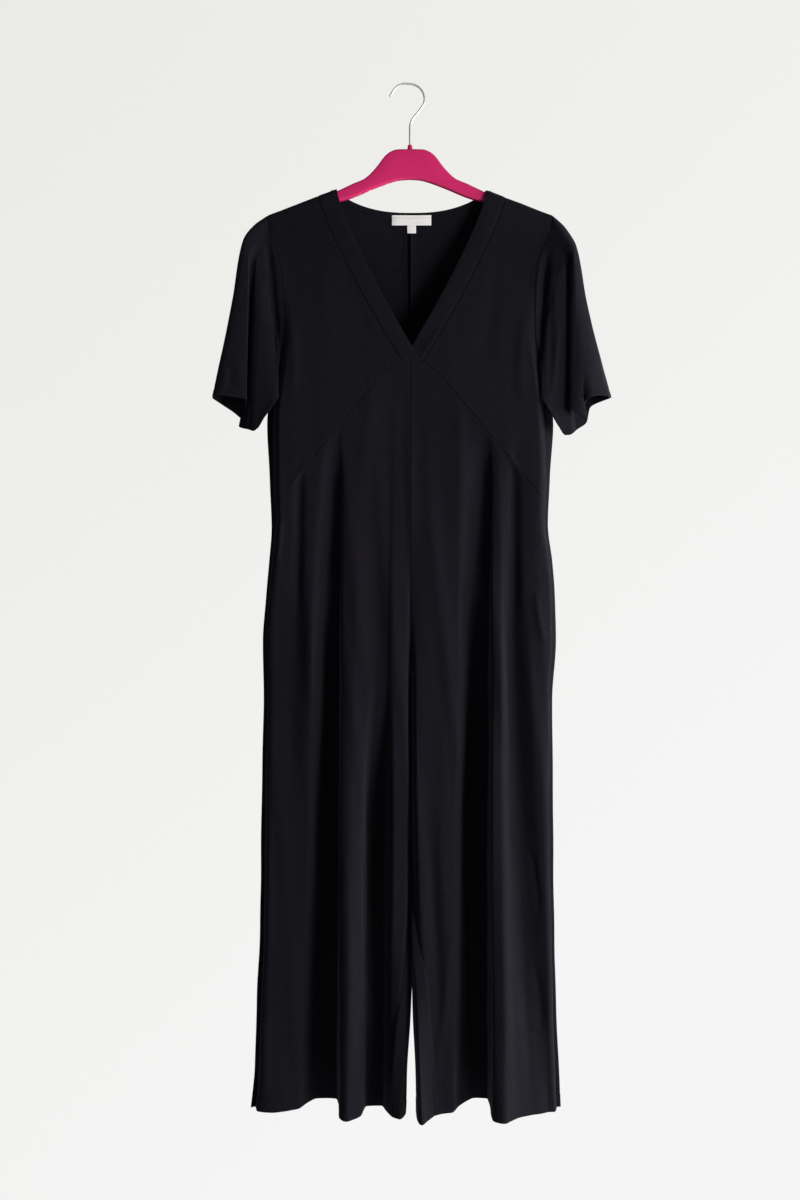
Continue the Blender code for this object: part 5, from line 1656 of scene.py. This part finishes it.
class JUMPSUIT_OT_labels(bpy.types.Operator):
    """Makes the bare neck label and size tab"""

    bl_idname = "jumpsuit.labels"
    bl_label = "Neck label and tab"

    def execute(self, context):
        tape = tape_finish("white woven tape", tuple(colours().tape))
        label_foot = LABEL_TOP - LABEL_HEIGHT
        tab_top = label_foot - SEAM_GAP
        for name, width, high, low in (
            ("neck_label", LABEL_WIDTH, LABEL_TOP, label_foot),
            ("size_tab", TAB_WIDTH, tab_top, tab_top - TAB_HEIGHT),
        ):
            panel = Panel(name, label_points(width, high, low), FORWARDS)
            obj = add_cloth(panel, LABEL_CLOTH, tape, [name], ("top", "foot", "outer", "inner"))
            declare_sheet(panel)
        return {"FINISHED"}


class JUMPSUIT_OT_hanger_body(bpy.types.Operator):
    """Makes the moulded hanger"""

    bl_idname = "jumpsuit.hanger_body"
    bl_label = "Hanger"

    def execute(self, context):
        make_hanger_body(plastic_finish("pink plastic", tuple(colours().plastic)))
        return {"FINISHED"}


class JUMPSUIT_OT_hanger_hook(bpy.types.Operator):
    """Makes the bent wire hook"""

    bl_idname = "jumpsuit.hanger_hook"
    bl_label = "Hook"

    def execute(self, context):
        make_hook(steel_finish("hook steel", tuple(colours().steel)), sizes().wire)
        return {"FINISHED"}


class JUMPSUIT_OT_stage(bpy.types.Operator):
    """Makes the pale floor, the soft lights and the camera"""

    bl_idname = "jumpsuit.stage"
    bl_label = "Studio"

    def execute(self, context):
        floor = start_shape(
            "studio_floor",
            bpy.ops.mesh.primitive_circle_add,
            vertices=96,
            radius=FLOOR_RADIUS,
            fill_type="NGON",
            location=(0.0, 0.0, -sizes().floor_drop),
        )
        bpy.ops.mesh.inset(thickness=FLOOR_RADIUS / 2)
        end_shape()
        floor.data.materials.append(pale_finish("pale floor", tuple(colours().floor)))
        for name, place, size, power, colour in LIGHTS:
            bpy.ops.object.light_add(type="AREA", location=place)
            light = bpy.context.object
            light.name = name
            light.data.shape = "DISK"
            light.data.size = size
            light.data.energy = power
            light.data.color = colour
            aim = Vector(LIGHT_AIM) - Vector(place)
            light.rotation_euler = aim.to_track_quat("-Z", "Y").to_euler()
        add_world(context.scene)
        bpy.ops.object.camera_add(location=CAMERA_PLACE, rotation=(math.pi / 2, 0.0, 0.0))
        camera = bpy.context.object
        camera.data.sensor_fit = "VERTICAL"
        camera.data.sensor_height = SENSOR
        camera.data.lens = SENSOR * -CAMERA_PLACE[1] / FRAME_HEIGHT
        context.scene.camera = camera
        context.scene.view_settings.view_transform = "Standard"
        return {"FINISHED"}


def add_world(scene):
    """A pale world whose backdrop, as the camera sees it, has painted shade towards the top and the left and
    painted light towards the right, and which lights less than it shows.
    """
    world = bpy.data.worlds.new("pale room")
    scene.world = world
    nodes = Nodes(world)
    place = nodes.node("TexCoord", output="Generated")
    turn = nodes.node("VectorMath", {"operation": "DOT_PRODUCT"}, {0: place, 1: WORLD_TURN}, "Value")
    share = nodes.node("Math", {"operation": "ADD", "use_clamp": True}, {0: turn, 1: WORLD_MIDDLE})
    # The backdrop the camera sees: painted shade towards the top and left, painted light towards the right
    shown = nodes.node("Background", None, {"Color": nodes.mix(share, WORLD_UPPER, WORLD_LOWER)})
    lighting = nodes.node("Background", None, {"Color": WORLD_LOWER, "Strength": WORLD_LIGHTING})
    seen = nodes.node("LightPath", output="Is Camera Ray")
    joined = nodes.node("MixShader", None, {0: seen, 1: lighting, 2: shown})
    nodes.tree.links.new(joined.socket, nodes.tree.nodes["World Output"].inputs["Surface"])


OPERATORS = (
    JUMPSUIT_OT_stage,
    JUMPSUIT_OT_legs,
    JUMPSUIT_OT_backs,
    JUMPSUIT_OT_bodices,
    JUMPSUIT_OT_neck_bands,
    JUMPSUIT_OT_sleeves,
    JUMPSUIT_OT_pockets,
    JUMPSUIT_OT_labels,
    JUMPSUIT_OT_hanger_body,
    JUMPSUIT_OT_hanger_hook,
)


class JUMPSUIT_PT_pieces(bpy.types.Panel):
    """Lists the sizes, the colours and the pieces"""

    bl_idname = "JUMPSUIT_PT_pieces"
    bl_label = "Jumpsuit"
    bl_space_type = "VIEW_3D"
    bl_region_type = "UI"
    bl_category = "Jumpsuit"

    def draw(self, context):
        for group in (sizes(), colours()):
            for name in group.__annotations__:
                self.layout.prop(group, name)
        for operator in OPERATORS:
            self.layout.operator(operator.bl_idname)


CLASSES = (JumpsuitSizes, JumpsuitColours, *OPERATORS, JUMPSUIT_PT_pieces)


def register():
    for each in CLASSES:
        bpy.utils.register_class(each)
    bpy.types.Scene.jumpsuit_sizes = bpy.props.PointerProperty(type=JumpsuitSizes)
    bpy.types.Scene.jumpsuit_colours = bpy.props.PointerProperty(type=JumpsuitColours)


def unregister():
    del bpy.types.Scene.jumpsuit_sizes
    del bpy.types.Scene.jumpsuit_colours
    for each in reversed(CLASSES):
        bpy.utils.unregister_class(each)


def main():
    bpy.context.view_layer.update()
    register()
    for operator in OPERATORS:
        group, name = operator.bl_idname.split(".")
        getattr(getattr(bpy.ops, group), name)()


if __name__ == "__main__":
    main()
